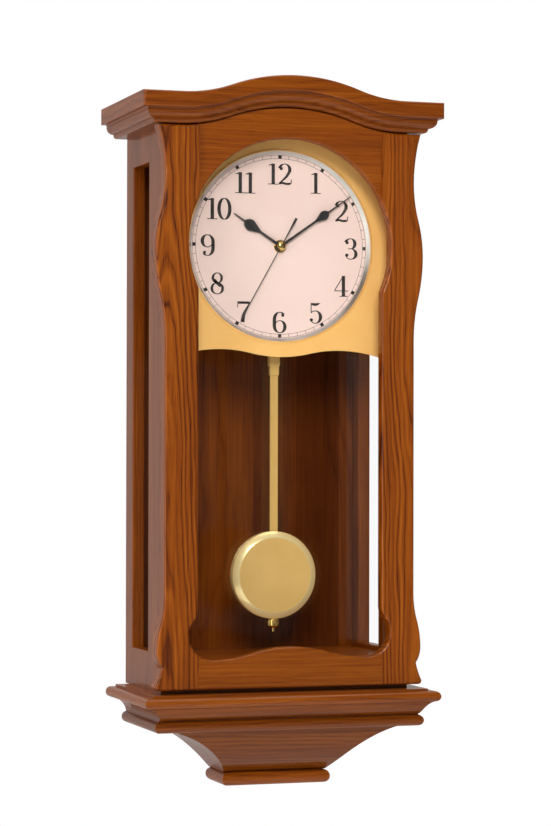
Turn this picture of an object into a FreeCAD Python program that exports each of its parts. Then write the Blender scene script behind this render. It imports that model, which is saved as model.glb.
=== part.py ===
"""Pendulum wall clock in stained oak, with a hinged glazed door and a battery movement.

Frame: the origin is where the clock hangs on its screw, on the wall plane. +X is the clock's
left as it looks out (the viewer's right), +Y goes into the wall and +Z is up. Inside this file
heights are counted from the bottom of the case, and place() moves them to the hanging point.
"""
import FreeCAD
import Part
import Sketcher
import math
import os

Vector = FreeCAD.Vector

doc = FreeCAD.newDocument("WallClock")

# ---------------------------------------------------------------- driving dimensions, mm

DIMENSIONS = [
    ("hang_height", 505),
    ("case_height", 553),
    ("case_width", 249),
    ("case_depth", 129),
    ("panel", 12.5),
    ("back", 5),
    ("board", 12),
    ("floor_top", 32),
    ("slot_rear", 24.5),
    ("slot_front", 82),
    ("slot_bottom", 37),
    ("slot_top", 509),
    ("slot_round", 1.5),
    ("access_width", 92),
    ("access_bottom", 372),
    ("access_top", 484),
    ("arch_rise", 20),
    ("arch_reach", 112),
    ("arch_crown", 64),
    ("crown_bottom", 536),
    ("crown_depth", 14),
    ("cornice_width", 302.4),
    ("cornice_depth", 160.5),
    ("cornice_thick", 15.5),
    ("cornice_round", 2),
    ("moulding_drop", 13.2),
    ("plinth_width", 296.2),
    ("plinth_depth", 161),
    ("plinth_back", 12.5),
    ("plinth_thick", 10),
    ("plinth_riser", 2),
    ("plinth_step", 10),
    ("cove_height", 13.5),
    ("cove_inset", 17.3),
    ("bead_inset", 14.5),
    ("bead_height", 10.5),
    ("lower_back", 25),
    ("console_width", 229.2),
    ("console_front", 137),
    ("console_height", 44.5),
    ("neck_width", 103.4),
    ("neck_front", 94.7),
    ("neck_back", 45),
    ("foot_width", 109.4),
    ("foot_front", 101.8),
    ("foot_height", 13),
    ("foot_round", 6),
    ("door_front", 145.5),
    ("door_thick", 16),
    ("door_bottom", 4),
    ("door_top", 538.5),
    ("door_round", 2.5),
    ("header_back", 3),
    ("opening_width", 184.8),
    ("opening_radius", 102),
    ("opening_height", 427.7),
    ("stile_neck", 125.8),
    ("stile_wide", 135.2),
    ("stile_top", 132.7),
    ("stile_foot", 134.3),
    ("notch_height", 25),
    ("swell_height", 40),
    ("swell_top", 92),
    ("lower_neck", 338),
    ("widest", 419),
    ("upper_neck", 490),
    ("rail_low", 32),
    ("rail_crest", 43),
    ("flare_width", 202.6),
    ("flare_height", 56),
    ("flare_start", 80),
    ("flare_round", 24),
    ("glass_width", 214),
    ("glass_bottom", 22.5),
    ("glass_top", 534.5),
    ("glass_thick", 2),
    ("rebate_deep", 5),
    ("glass_play", 0.2),
    ("bead_strip", 4.5),
    ("dial_height", 428.7),
    ("plate_front", 111),
    ("plate_thick", 1),
    ("plate_top", 535),
    ("plate_low", 321.2),
    ("plate_wave", 6.9),
    ("plate_pitch", 60),
    ("plate_droop", 9.5),
    ("dial_hole", 92.6),
    ("ring_inner", 89.5),
    ("ring_front", 111.6),
    ("dial_front", 108.3),
    ("dial_thick", 1),
    ("hour_clear", 2),
    ("minute_clear", 3.4),
    ("second_clear", 4.8),
    ("movement_size", 56),
    ("movement_front", 106.3),
    ("movement_rear", 90.8),
    ("pivot_height", 386),
    ("pendulum_plane", 90.5),
    ("rod_width", 7.7),
    ("rod_thick", 2),
    ("rod_bottom", 70),
    ("bob_height", 109.2),
    ("bob_radius", 42.5),
    ("bob_flat", 36.5),
    ("bob_front", 96.5),
    ("bob_rear", 85.5),
    ("bob_wall", 0.8),
    ("nut_radius", 5.2),
    ("nut_top", 66.3),
    ("nut_height", 8.3),
    ("screw_radius", 1.2),
    ("screw_bottom", 54.6),
    ("hinge_reach", 128.2),
    ("hinge_plane", 129.25),
    ("knuckle_radius", 2),
    ("hinge_pin_radius", 0.95),
    ("hinge_length", 40),
    ("leaf", 0.8),
    ("lower_hinge", 118),
    ("upper_hinge", 500),
    ("minute_length", 87.5),
    ("hour_length", 56.2),
    ("second_length", 82),
    ("second_tail", 31.4),
    ("minute_angle", 54.9),
    ("hour_angle", 302.8),
    ("second_angle", 209.5),
]

sheet = doc.addObject("Spreadsheet::Sheet", "dims")
for row, (alias, number) in enumerate(DIMENSIONS, start=1):
    sheet.set("A%d" % row, alias)
    sheet.set("B%d" % row, str(number))
    sheet.setAlias("B%d" % row, alias)
doc.recompute()


class Size:
    """A length: its number in mm, and the sheet expression that gives it."""

    def __init__(self, number, text=None):
        self.number = float(number)
        self.text = text or "%.6f" % number

    def __add__(self, other):
        other = size(other)
        return Size(self.number + other.number, "(%s + %s)" % (self.text, other.text))

    def __sub__(self, other):
        other = size(other)
        return Size(self.number - other.number, "(%s - %s)" % (self.text, other.text))

    def __mul__(self, factor):
        return Size(self.number * factor, "(%s * %.6f)" % (self.text, factor))

    def __truediv__(self, divisor):
        return self * (1.0 / divisor)

    def __neg__(self):
        return self * -1.0

    def __radd__(self, other):
        return size(other) + self

    def __rsub__(self, other):
        return size(other) - self

    def __float__(self):
        return self.number


def size(value):
    """The value as a Size, whether it is one already or a plain number."""
    if isinstance(value, Size):
        return value
    return Size(value)


class Sheet:
    """Reads a named cell as a Size: d.case_width is the case's width."""

    def __getattr__(self, alias):
        return Size(sheet.get(alias), "dims." + alias)


d = Sheet()
half_case = d.case_width / 2
half_inside = half_case - d.panel
half_opening = d.opening_width / 2
half_flare = d.flare_width / 2
half_plinth = d.plinth_width / 2
door_rear = d.door_front - d.door_thick
plinth_top = -d.plinth_riser
plinth_bottom = -d.plinth_riser - d.plinth_thick
cove_bottom = plinth_bottom - d.cove_height
bead_bottom = cove_bottom - d.bead_height
console_bottom = bead_bottom - d.console_height

exports = []


# ---------------------------------------------------------------- helpers

def place(item, x=0, y=0, height=0):
    """Puts an object at (x, y) and at a height above the bottom of the case."""
    for axis, value in zip("xyz", (x, y, height - d.hang_height)):
        item.setExpression("Placement.Base." + axis, size(value).text)


def keep(item, label):
    """Names a finished sub-part and lists it for export."""
    item.Label = label
    exports.append(item)
    return item


def bulge(angle):
    """Bulge of an arc that turns by this many degrees, positive when it turns left."""
    return math.tan(math.radians(angle) / 4)


def arc_middle(start, end, bend):
    """Middle point of the arc from start to end: bend is its bulge, as bulge() gives it."""
    across = size(end[0]) - start[0]
    along = size(end[1]) - start[1]
    x = size(start[0]) + across / 2 + along * (bend / 2)
    y = size(start[1]) + along / 2 - across * (bend / 2)
    return x, y


def steer(start, end, upright=False, turn=1):
    """S-curve from start to the end point, level (or upright) at both ends.

    Gives the two corners that the curve starts and changes over at. turn is the side that it
    turns to first, 1 for left and -1 for right.
    """
    across = abs(float(end[0]) - float(start[0]))
    along = abs(float(end[1]) - float(start[1]))
    slope = math.atan2(across, along) if upright else math.atan2(along, across)
    bend = math.tan(slope / 2) * turn
    middle_x = (size(start[0]) + end[0]) / 2
    middle_y = (size(start[1]) + end[1]) / 2
    return [(start[0], start[1], bend), (middle_x, middle_y, -bend)]


def mirrored(path):
    """The path seen in a mirror at x = 0, still turning left as a whole."""
    count = len(path)
    flipped = []
    for index in range(count):
        corner = path[(count - index) % count]
        before = path[(count - index - 1) % count]
        bend = before[2] if len(before) == 3 else 0
        flipped.append((-size(corner[0]), corner[1], bend))
    return flipped


def constrain_point(sketch, geometry, vertex, x, y):
    """Ties one vertex of a sketch to the sheet."""
    for kind, value in (("DistanceX", x), ("DistanceY", y)):
        value = size(value)
        rule = Sketcher.Constraint(kind, -1, 1, geometry, vertex, value.number)
        index = sketch.addConstraint(rule)
        sketch.setExpression("Constraints[%d]" % index, value.text)


def draw_loop(sketch, path):
    """Draws a closed loop. A corner is (x, y) or (x, y, bulge of the arc to the next corner)."""
    count = len(path)
    vertices = []
    for index, corner in enumerate(path):
        following = path[(index + 1) % count]
        start = Vector(float(corner[0]), float(corner[1]), 0)
        end = Vector(float(following[0]), float(following[1]), 0)
        bend = corner[2] if len(corner) == 3 else 0
        if bend:
            middle = arc_middle(corner, following, bend)
            through = Vector(float(middle[0]), float(middle[1]), 0)
            ends = (start, end) if bend > 0 else (end, start)
            geometry = sketch.addGeometry(Part.Arc(ends[0], through, ends[1]))
            guide = sketch.addGeometry(Part.Point(through), True)
            constrain_point(sketch, guide, 1, middle[0], middle[1])
            sketch.addConstraint(Sketcher.Constraint("PointOnObject", guide, 1, geometry))
            vertices.append((geometry, 1, 2) if bend > 0 else (geometry, 2, 1))
        else:
            geometry = sketch.addGeometry(Part.LineSegment(start, end))
            vertices.append((geometry, 1, 2))
    for index in range(count):
        geometry, first, last = vertices[index]
        following = vertices[(index + 1) % count]
        sketch.addConstraint(
            Sketcher.Constraint("Coincident", geometry, last, following[0], following[1])
        )
        constrain_point(sketch, geometry, first, path[index][0], path[index][1])


def draw_circle(sketch, x, y, radius):
    """Draws a circle tied to the sheet."""
    x, y, radius = size(x), size(y), size(radius)
    circle = Part.Circle(Vector(x.number, y.number, 0), Vector(0, 0, 1), radius.number)
    geometry = sketch.addGeometry(circle)
    constrain_point(sketch, geometry, 3, x, y)
    index = sketch.addConstraint(Sketcher.Constraint("Radius", geometry, radius.number))
    sketch.setExpression("Constraints[%d]" % index, radius.text)


def new_body(label):
    """A new PartDesign body that becomes a sub-part."""
    return keep(doc.addObject("PartDesign::Body", label), label)


def new_sketch(body, plane, loops=(), circles=()):
    """A sketch on one of the body's own origin planes: XY, XZ or YZ."""
    role = plane + "_Plane"
    origin_plane = [item for item in body.Origin.OriginFeatures if item.Role == role][0]
    sketch = body.newObject("Sketcher::SketchObject", body.Name + "_outline")
    sketch.AttachmentSupport = [(origin_plane, "")]
    sketch.MapMode = "FlatFace"
    for loop in loops:
        draw_loop(sketch, loop)
    for x, y, radius in circles:
        draw_circle(sketch, x, y, radius)
    return sketch


def pad(body, sketch, length, reverse=False, both_ways=False):
    """Pads a sketch by a length of the sheet."""
    feature = body.newObject("PartDesign::Pad", body.Name + "_pad")
    feature.Profile = sketch
    feature.setExpression("Length", size(length).text)
    feature.Reversed = reverse
    feature.Midplane = both_ways
    return feature


def pocket(body, sketch, depth=None, reverse=False, both_ways=False):
    """Cuts a sketch out of the body, to a depth or through everything."""
    feature = body.newObject("PartDesign::Pocket", body.Name + "_pocket")
    feature.Profile = sketch
    if depth is None:
        feature.Type = "ThroughAll"
    else:
        feature.setExpression("Length", size(depth).text)
    feature.Reversed = reverse
    feature.Midplane = both_ways
    return feature


def turn(body, sketch):
    """Turns a sketch a full turn about its own vertical axis."""
    feature = body.newObject("PartDesign::Revolution", body.Name + "_turned")
    feature.Profile = sketch
    feature.ReferenceAxis = (sketch, ["V_Axis"])
    feature.Angle = 360
    return feature


def round_edges(body, radius, wanted):
    """Fillets every edge of the body that the wanted() test picks."""
    doc.recompute()
    tip = body.Tip
    names = []
    for index, edge in enumerate(tip.Shape.Edges, start=1):
        if wanted(edge):
            names.append("Edge%d" % index)
    feature = body.newObject("PartDesign::Fillet", body.Name + "_rounded")
    feature.Base = (tip, names)
    feature.setExpression("Radius", size(radius).text)
    feature.UseAllEdges = False
    return feature


def rectangle(left, right, bottom, top):
    """Corners of a rectangle."""
    return [(left, bottom), (right, bottom), (right, top), (left, top)]


def box(label, left, right, front, rear, bottom, top):
    """A plain box given by its six faces: front and rear are y, bottom and top are heights."""
    item = keep(doc.addObject("Part::Box", label), label)
    item.setExpression("Length", (size(right) - left).text)
    item.setExpression("Width", (size(rear) - front).text)
    item.setExpression("Height", (size(top) - bottom).text)
    place(item, left, front, bottom)
    return item


def feature(label, shape, x=0, y=0, height=0):
    """A sub-part whose shape is made with Part's own functions."""
    item = keep(doc.addObject("Part::Feature", label), label)
    item.Shape = shape
    place(item, x, y, height)
    return item


def block(left, right, front, rear, bottom, top):
    """A box shape, for sub-parts that are made with Part's own functions."""
    low = Vector(float(left), float(front), float(bottom))
    return Part.makeBox(
        float(right) - float(left), float(rear) - float(front), float(top) - float(bottom), low
    )


def rod_y(radius, front, rear, x=0, z=0):
    """A cylinder shape along Y."""
    front, rear = float(front), float(rear)
    return Part.makeCylinder(float(radius), rear - front, Vector(x, front, z), Vector(0, 1, 0))


def on_plane(item_plane_y):
    """Edge test: the edge lies in the plane at this y of the body."""
    level = float(item_plane_y)

    def test(edge):
        return all(abs(vertex.Y - level) < 1e-4 for vertex in edge.Vertexes)

    return test


def check_and_export():
    """Stops on any failed object, then writes every sub-part."""
    doc.recompute()
    for item in doc.Objects:
        if "Invalid" in item.State or "Error" in item.State:
            raise RuntimeError("failed: %s %s" % (item.Label, item.State))
    os.makedirs("parts", exist_ok=True)
    for item in exports:
        shape = item.Shape
        if shape.isNull() or not shape.isValid() or not shape.Solids:
            raise RuntimeError("bad shape: " + item.Label)
        shape.exportStep("parts/%s.step" % item.Label)
    print(len(exports), "sub-parts written")


# ---------------------------------------------------------------- the arch of cornice and door

def arch_angle():
    """Slope where the arch changes over from hollow to crown, in degrees."""
    return 2 * math.degrees(math.atan2(float(d.arch_rise), float(d.arch_reach)))


def arch_change():
    """Rise of the arch at its change-over point."""
    return d.arch_rise * (1 - float(d.arch_crown) / float(d.arch_reach))


def hollow_radius():
    """Radius of the arch's outer, hollow stretch."""
    reach = float(d.arch_reach - d.arch_crown)
    return reach / math.sin(math.radians(arch_angle()))


def arch_path(level, limit):
    """The arch from x = limit to x = -limit, as corners from right to left."""
    angle = arch_angle()
    from_end = max(float(d.arch_reach) - float(limit), 0)
    radius = hollow_radius()
    start_angle = math.degrees(math.asin(from_end / radius))
    start_rise = radius - math.sqrt(radius ** 2 - from_end ** 2)
    hollow = bulge(angle - start_angle)
    crown = bulge(2 * angle)
    limit = size(limit)
    change = d.arch_crown
    return [
        (limit, level + start_rise, -hollow),
        (change, level + arch_change(), crown),
        (-change, level + arch_change(), -hollow),
        (-limit, level + start_rise),
    ]


# ---------------------------------------------------------------- case

def make_back_panel():
    body = new_body("back_panel")
    outline = [(-half_inside, 0), (half_inside, 0)]
    outline += arch_path(d.case_height, half_inside)
    access = rectangle(-d.access_width / 2, d.access_width / 2, d.access_bottom, d.access_top)
    pad(body, new_sketch(body, "XZ", [outline, access]), d.back)
    plate_bottom = d.hang_height - 16
    recess = rectangle(-20, 20, plate_bottom, plate_bottom + 40)
    pocket(body, new_sketch(body, "XZ", [recess]), 2, reverse=True)
    head_room = rectangle(-7, 7, d.hang_height - 8, d.hang_height + 18)
    pocket(body, new_sketch(body, "XZ", [head_room]), d.back, reverse=True)
    place(body)


def make_hanger():
    """Keyhole plate let into the back, the block behind it and its four screws."""
    plate = new_body("hanger_plate")
    neck = math.sqrt(5.0 ** 2 - 2.25 ** 2)
    wrap = bulge(360 - 2 * math.degrees(math.asin(2.25 / 5.0)))
    keyhole = [(-2.25, neck, wrap), (2.25, neck), (2.25, 14, bulge(180)), (-2.25, 14)]
    holes = [(x, z, 2.95) for x in (-15, 15) for z in (-11, 19)]
    outline = rectangle(-20, 20, -16, 24)
    pad(plate, new_sketch(plate, "XZ", [outline, keyhole], holes), 2)
    place(plate, height=d.hang_height)

    hanger_block = new_body("hanger_block")
    pad(hanger_block, new_sketch(hanger_block, "XZ", [rectangle(-30, 30, -20, 34)]), 15)
    head_room = new_sketch(hanger_block, "XZ", [rectangle(-7, 7, -8, 18)])
    pocket(hanger_block, head_room, 8, reverse=True)
    place(hanger_block, y=-d.back, height=d.hang_height)

    screws = []
    for x, z, _ in holes:
        head = Part.makeCone(1.5, 2.9, 1.4, Vector(x, -1.4, z), Vector(0, 1, 0))
        screws.append(head.fuse(rod_y(1.5, -4.8, -1.4, x, z)))
    feature("hanger_screws", Part.makeCompound(screws), height=d.hang_height)


def make_side_panel(label, left):
    body = new_body(label)
    outline = rectangle(-d.case_depth, 0, 0, d.case_height)
    slot = rectangle(-d.slot_front, -d.slot_rear, d.slot_bottom, d.slot_top)
    pad(body, new_sketch(body, "YZ", [outline, slot]), d.panel)

    def slot_edge(edge):
        box_ = edge.BoundBox
        inside = box_.YMin > -float(d.case_depth) + 1 and box_.YMax < -1
        return inside and box_.XLength < 1

    round_edges(body, d.slot_round, slot_edge)
    if not left:
        mortises(body)
    place(body, x=-half_case if left else half_inside)


MORTISE_SPARE = 0.2


def mortises(body):
    """Two shallow seats for hinge leaves in the panel's front edge."""
    near = -d.case_depth
    for centre in (d.lower_hinge, d.upper_hinge):
        low = centre - d.hinge_length / 2 - MORTISE_SPARE
        high = centre + d.hinge_length / 2 + MORTISE_SPARE
        seat = rectangle(near, near + d.leaf, low, high)
        pocket(body, new_sketch(body, "YZ", [seat]), both_ways=True)


def make_boards():
    """Top board, floor board with its front lip, and the arched rail the door closes against."""
    front = -d.case_depth
    top = d.case_height
    box("top_board", -half_inside, half_inside, front + d.crown_depth, -d.back, top - d.board, top)
    floor = new_body("floor_board")
    under = d.floor_top - d.board
    section = [(front, 0), (front + d.board, 0), (front + d.board, under), (-d.back, under),
               (-d.back, d.floor_top), (front, d.floor_top)]
    pad(floor, new_sketch(floor, "YZ", [section]), half_inside * 2, both_ways=True)
    place(floor)
    rail = new_body("crown_rail")
    outline = [(-half_inside, d.crown_bottom), (half_inside, d.crown_bottom)]
    outline += arch_path(d.case_height, half_inside)
    pad(rail, new_sketch(rail, "XZ", [outline]), d.crown_depth)
    place(rail, y=-d.case_depth + d.crown_depth)


def make_cornice_slab():
    body = new_body("cornice_slab")
    half = d.cornice_width / 2
    top = d.cornice_thick
    upper = arch_path(top, d.arch_reach)
    lower = [
        (-d.arch_reach, 0, bulge(arch_angle())),
        (-d.arch_crown, arch_change(), -bulge(2 * arch_angle())),
        (d.arch_crown, arch_change(), bulge(arch_angle())),
        (d.arch_reach, 0),
    ]
    outline = [(-half, 0)] + lower + [(half, 0), (half, top)] + upper + [(-half, top)]
    pad(body, new_sketch(body, "XZ", [outline]), d.cornice_depth)
    round_edges(body, d.cornice_round, on_plane(-d.cornice_depth))
    place(body, height=d.case_height)


OVOLO_START = (5.5, 1.2)
BEAD_START = (12.6, 9.9)
SWELL = 0.22


def moulding_profile(reach):
    """Section of the cornice moulding as (inset, drop) from the slab's lower edge."""
    drop = float(d.moulding_drop)
    return [(5, 0), OVOLO_START, (11.8, 9.2), (12.4, 9.2), BEAD_START,
            (15.5, drop), (reach, drop), (reach, 0)]


def profile_wire(points, put):
    """Closed wire through a moulding profile: its ovolo and bead are arcs."""
    edges = []
    for start, end in zip(points, points[1:] + points[:1]):
        if start in (OVOLO_START, BEAD_START):
            across = end[0] - start[0]
            down = end[1] - start[1]
            middle = (start[0] + across / 2 - down * SWELL, start[1] + down / 2 + across * SWELL)
            edges.append(Part.Arc(put(*start), put(*middle), put(*end)).toShape())
        else:
            edges.append(Part.makeLine(put(*start), put(*end)))
    return Part.Wire(edges)


def plan_prism(corners):
    """Tall prism over a plan outline, used to mitre the mouldings."""
    points = [Vector(float(x), float(y), -60) for x, y in corners]
    return Part.Face(Part.makePolygon(points + points[:1])).extrude(Vector(0, 0, 150))


def make_cornice_moulding():
    """Front moulding that follows the arch, and two straight returns, mitred."""
    half = float(d.cornice_width) / 2
    depth = float(d.cornice_depth)
    side = float(half_case)
    front = float(d.case_depth)
    mitre = depth - (half - side)

    corners = [(-half, 0)]
    corners += [(float(x), float(z)) for x, z in (
        (-d.arch_reach, 0), (-d.arch_crown, arch_change()),
        (d.arch_crown, arch_change()), (d.arch_reach, 0))]
    corners += [(half, 0)]
    bends = [0, bulge(arch_angle()), -bulge(2 * arch_angle()), bulge(arch_angle()), 0]
    edges = []
    for start, end, bend in zip(corners, corners[1:], bends):
        first = Vector(start[0], -depth, start[1])
        last = Vector(end[0], -depth, end[1])
        if bend:
            middle = arc_middle(start, end, bend)
            through = Vector(float(middle[0]), -depth, float(middle[1]))
            edges.append(Part.Arc(first, through, last).toShape())
        else:
            edges.append(Part.makeLine(first, last))
    spine = Part.Wire(edges)
    section = profile_wire(
        moulding_profile(depth - front), lambda inset, drop: Vector(-half, inset - depth, -drop)
    )
    swept = spine.makePipeShell([section], True, False)
    plan = [(-half, -depth), (half, -depth), (side, -mitre), (side, -front),
            (-side, -front), (-side, -mitre)]
    shape = swept.common(plan_prism(plan))
    feature("cornice_moulding_front", shape.Solids[0], height=d.case_height)

    returns = []
    for sign in (-1, 1):
        section = profile_wire(
            moulding_profile(half - side),
            lambda inset, drop: Vector(sign * (half - inset), -depth, -drop),
        )
        bar = Part.Face(section).extrude(Vector(0, depth, 0))
        plan = [(sign * half, -depth), (sign * half, 0), (sign * side, 0), (sign * side, -mitre)]
        returns.append(bar.common(plan_prism(plan)).Solids[0])
    feature("cornice_returns", Part.makeCompound(returns), height=d.case_height)


# ---------------------------------------------------------------- plinth, console and foot

def make_plinth():
    """Plinth board with a full round nose and a raised step that the case stands on."""
    body = new_body("plinth_board")
    nose = d.plinth_thick
    slab = rectangle(-half_plinth, half_plinth, -d.plinth_depth, -d.plinth_back)
    pad(body, new_sketch(body, "XY", [slab]), nose)

    def nose_edge(edge):
        box_ = edge.BoundBox
        level = box_.ZLength < 1e-6
        at_wall = box_.YMin > -float(d.plinth_back) - 1e-6
        return level and not at_wall

    round_edges(body, nose / 2 - 0.1, nose_edge)
    inset = d.plinth_step
    side = half_plinth - inset
    step = rectangle(-side, side, -d.plinth_depth + inset, -d.plinth_back)
    pad(body, new_sketch(body, "XY", [step]), nose + d.plinth_riser)
    place(body, height=plinth_bottom)


def make_plinth_moulding():
    """Hollow over a small bead, on three sides, mitred at the two front corners."""
    body = new_body("plinth_moulding")
    side = half_plinth - 4.5
    deep = half_plinth - d.cove_inset
    bead = half_plinth - d.bead_inset
    low = -d.cove_height
    foot = low - d.bead_height
    hollow = bulge(70)
    nose = bulge(150)
    outline = [
        (side, 0, hollow), (deep, low + 1), (deep, low), (bead - 2.5, low, -nose),
        (bead - 2.5, foot), (-bead + 2.5, foot, -nose), (-bead + 2.5, low), (-deep, low),
        (-deep, low + 1, hollow), (-side, 0),
    ]
    depth = d.plinth_depth - d.lower_back
    pad(body, new_sketch(body, "XZ", [outline]), depth)
    front = -(d.plinth_depth - d.lower_back)
    far = front - 10
    waste = [
        (far, 5), (far, foot - 5), (front + d.bead_inset + 2.5, foot - 5),
        (front + d.bead_inset + 2.5, foot, -nose), (front + d.bead_inset + 2.5, low),
        (front + d.cove_inset, low), (front + d.cove_inset, low + 1, -hollow),
        (front + 4.5, 0), (front + 4.5, 5),
    ]
    pocket(body, new_sketch(body, "YZ", [waste]), both_ways=True)
    place(body, y=-d.lower_back, height=plinth_bottom)


HOLLOW_SWEEP = 43


def make_console():
    """Block hollowed on all four sides, from the plinth moulding down to its neck."""
    body = new_body("console")
    top = d.console_width / 2
    neck = d.neck_width / 2
    low = -d.console_height
    sweep = bulge(HOLLOW_SWEEP)
    outline = [(top, 0, sweep), (neck, low), (-neck, low, sweep), (-top, 0)]
    depth = d.console_front - d.lower_back
    pad(body, new_sketch(body, "XZ", [outline]), depth)
    front_neck = d.lower_back - d.neck_front
    back_neck = d.lower_back - d.neck_back
    front_waste = [(-depth - 5, 5), (-depth - 5, low - 5), (front_neck, low - 5),
                   (front_neck, low, -sweep), (-depth, 0), (-depth, 5)]
    back_waste = [(5, 5), (0, 5), (0, 0, -sweep), (back_neck, low), (back_neck, low - 5),
                  (5, low - 5)]
    pocket(body, new_sketch(body, "YZ", [front_waste]), both_ways=True)
    pocket(body, new_sketch(body, "YZ", [back_waste]), both_ways=True)
    place(body, y=-d.lower_back, height=bead_bottom)


def make_foot():
    body = new_body("foot_board")
    half = d.foot_width / 2
    outline = rectangle(-half, half, -d.foot_front, -d.neck_back + 1)
    pad(body, new_sketch(body, "XY", [outline]), d.foot_height)

    def rim(edge):
        return edge.BoundBox.ZLength < 1e-6

    round_edges(body, d.foot_round, rim)
    place(body, height=console_bottom - d.foot_height)


# ---------------------------------------------------------------- door

def stile_path():
    """Outline of the right stile, seen from the front."""
    foot = d.stile_foot
    neck = d.stile_neck
    wide = d.stile_wide
    bottom = d.door_bottom
    half_bite = math.sqrt(float(d.opening_radius) ** 2 - float(half_opening) ** 2)
    bite = bulge(2 * math.degrees(math.asin(half_bite / float(d.opening_radius))))
    flare_centre = half_flare - d.flare_round
    beyond = float(half_opening - flare_centre)
    drop = math.sqrt(float(d.flare_round) ** 2 - beyond ** 2)
    flare = bulge(math.degrees(math.asin(drop / float(d.flare_round))))
    top_slope = math.atan2(float(d.stile_top - neck), float(d.door_top - d.upper_neck))
    arch = arch_path(d.door_top, half_opening)[0]

    path = [(half_opening, bottom), (foot - 3.3, bottom, bulge(80)), (foot, bottom + 3.5, bulge(-14))]
    path += [(foot - 6, d.notch_height, bulge(35.5))]
    path += steer((foot - 1.2, d.swell_height), (neck, d.swell_top), upright=True, turn=1)
    path += [(neck, d.swell_top)]
    path += steer((neck, d.lower_neck), (wide, d.widest), upright=True, turn=-1)
    path += steer((wide, d.widest), (neck, d.upper_neck), upright=True, turn=1)
    path += [(neck, d.upper_neck, -math.tan(top_slope / 2)), (d.stile_top, d.door_top)]
    path += [(d.arch_reach, d.door_top, -bulge(start_slope())), (half_opening, arch[1])]
    path += [(half_opening, d.opening_height + half_bite, -bite)]
    path += [(half_opening, d.opening_height - half_bite)]
    path += steer((half_opening, d.flare_start), (half_flare, d.flare_height), True, 1)
    path += [(half_flare, d.flare_height, -flare), (half_opening, d.flare_height - drop)]
    return path


def start_slope():
    """Slope of the arch where stile and header meet, in degrees."""
    from_end = float(d.arch_reach - half_opening)
    return math.degrees(math.asin(from_end / hollow_radius()))


RAIL_JOINT_TOP = 60
HEADER_JOINT_BOTTOM = 420


def shown_edge(joint_bottom, joint_top):
    """Edge test for a stile's front: all of it but the joints to header and rail."""
    plane = -float(d.door_thick)

    def test(edge):
        flat = all(abs(vertex.Y - plane) < 1e-4 for vertex in edge.Vertexes)
        ends = edge.BoundBox
        joint = ends.XLength < 1e-4 and abs(abs(ends.XMin) - float(half_opening)) < 1e-4
        open_side = ends.ZMin > joint_bottom and ends.ZMax < joint_top
        return flat and (open_side or not joint)

    return test


def make_stile(label, left):
    body = new_body(label)
    path = mirrored(stile_path()) if left else stile_path()
    pad(body, new_sketch(body, "XZ", [path]), d.door_thick)
    round_edges(body, d.door_round, shown_edge(RAIL_JOINT_TOP, HEADER_JOINT_BOTTOM))
    sign = -1 if left else 1
    edges = sorted([float(d.glass_width) / 2 * sign, 80 * sign])
    rebate = rectangle(edges[0], edges[1], d.glass_bottom - 0.5, d.glass_top + 0.5)
    pocket(body, new_sketch(body, "XZ", [rebate]), d.rebate_deep, reverse=True)
    if not left:
        for centre in (d.lower_hinge, d.upper_hinge):
            low = centre - d.hinge_length / 2 - 0.2
            high = low + d.hinge_length + 0.4
            seat = rectangle(110, 130, low, high)
            pocket(body, new_sketch(body, "XZ", [seat]), d.leaf, reverse=True)
            reach = d.hinge_reach - d.knuckle_radius - 0.4
            relief = rectangle(reach, reach + 8, low, high)
            pocket(body, new_sketch(body, "XZ", [relief]), d.knuckle_radius + 0.35, reverse=True)
    place(body, y=-door_rear)


def make_header():
    body = new_body("door_header")
    half_bite = math.sqrt(float(d.opening_radius) ** 2 - float(half_opening) ** 2)
    sweep = 2 * math.degrees(math.asin(float(half_opening) / float(d.opening_radius)))
    low = d.opening_height + half_bite
    path = [(-half_opening, low, -bulge(sweep)), (half_opening, low)]
    path += arch_path(d.door_top, half_opening)
    thick = d.door_thick - d.header_back
    pad(body, new_sketch(body, "XZ", [path]), thick)

    def opening_edge(edge):
        flat = all(abs(vertex.Y + float(thick)) < 1e-4 for vertex in edge.Vertexes)
        return flat and edge.BoundBox.ZMin < float(low) + 1 and edge.BoundBox.XLength > 100

    round_edges(body, 2, opening_edge)
    rebate = rectangle(-100, 100, 400, d.glass_top + 0.5)
    pocket(body, new_sketch(body, "XZ", [rebate]), d.rebate_deep, reverse=True)
    place(body, y=-door_rear)


def make_rail():
    body = new_body("door_rail")
    flare_centre = half_flare - d.flare_round
    beyond = float(half_opening - flare_centre)
    drop = math.sqrt(float(d.flare_round) ** 2 - beyond ** 2)
    corner = bulge(math.degrees(math.asin(beyond / float(d.flare_round))))
    side = d.flare_height - drop
    path = [(-half_opening, d.door_bottom), (half_opening, d.door_bottom)]
    path += [(half_opening, side, -corner)]
    path += steer((flare_centre, d.rail_low), (0, d.rail_crest), turn=-1)
    path += steer((0, d.rail_crest), (-flare_centre, d.rail_low), turn=1)
    path += [(-flare_centre, d.rail_low, -corner), (-half_opening, side)]
    pad(body, new_sketch(body, "XZ", [path]), d.door_thick)

    def shown(edge):
        flat = all(abs(vertex.Y + float(d.door_thick)) < 1e-4 for vertex in edge.Vertexes)
        return flat and edge.BoundBox.XLength > 1e-3

    round_edges(body, d.door_round, shown)
    rebate = rectangle(-100, 100, d.glass_bottom - 0.5, 60)
    pocket(body, new_sketch(body, "XZ", [rebate]), d.rebate_deep, reverse=True)
    place(body, y=-door_rear)


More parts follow.
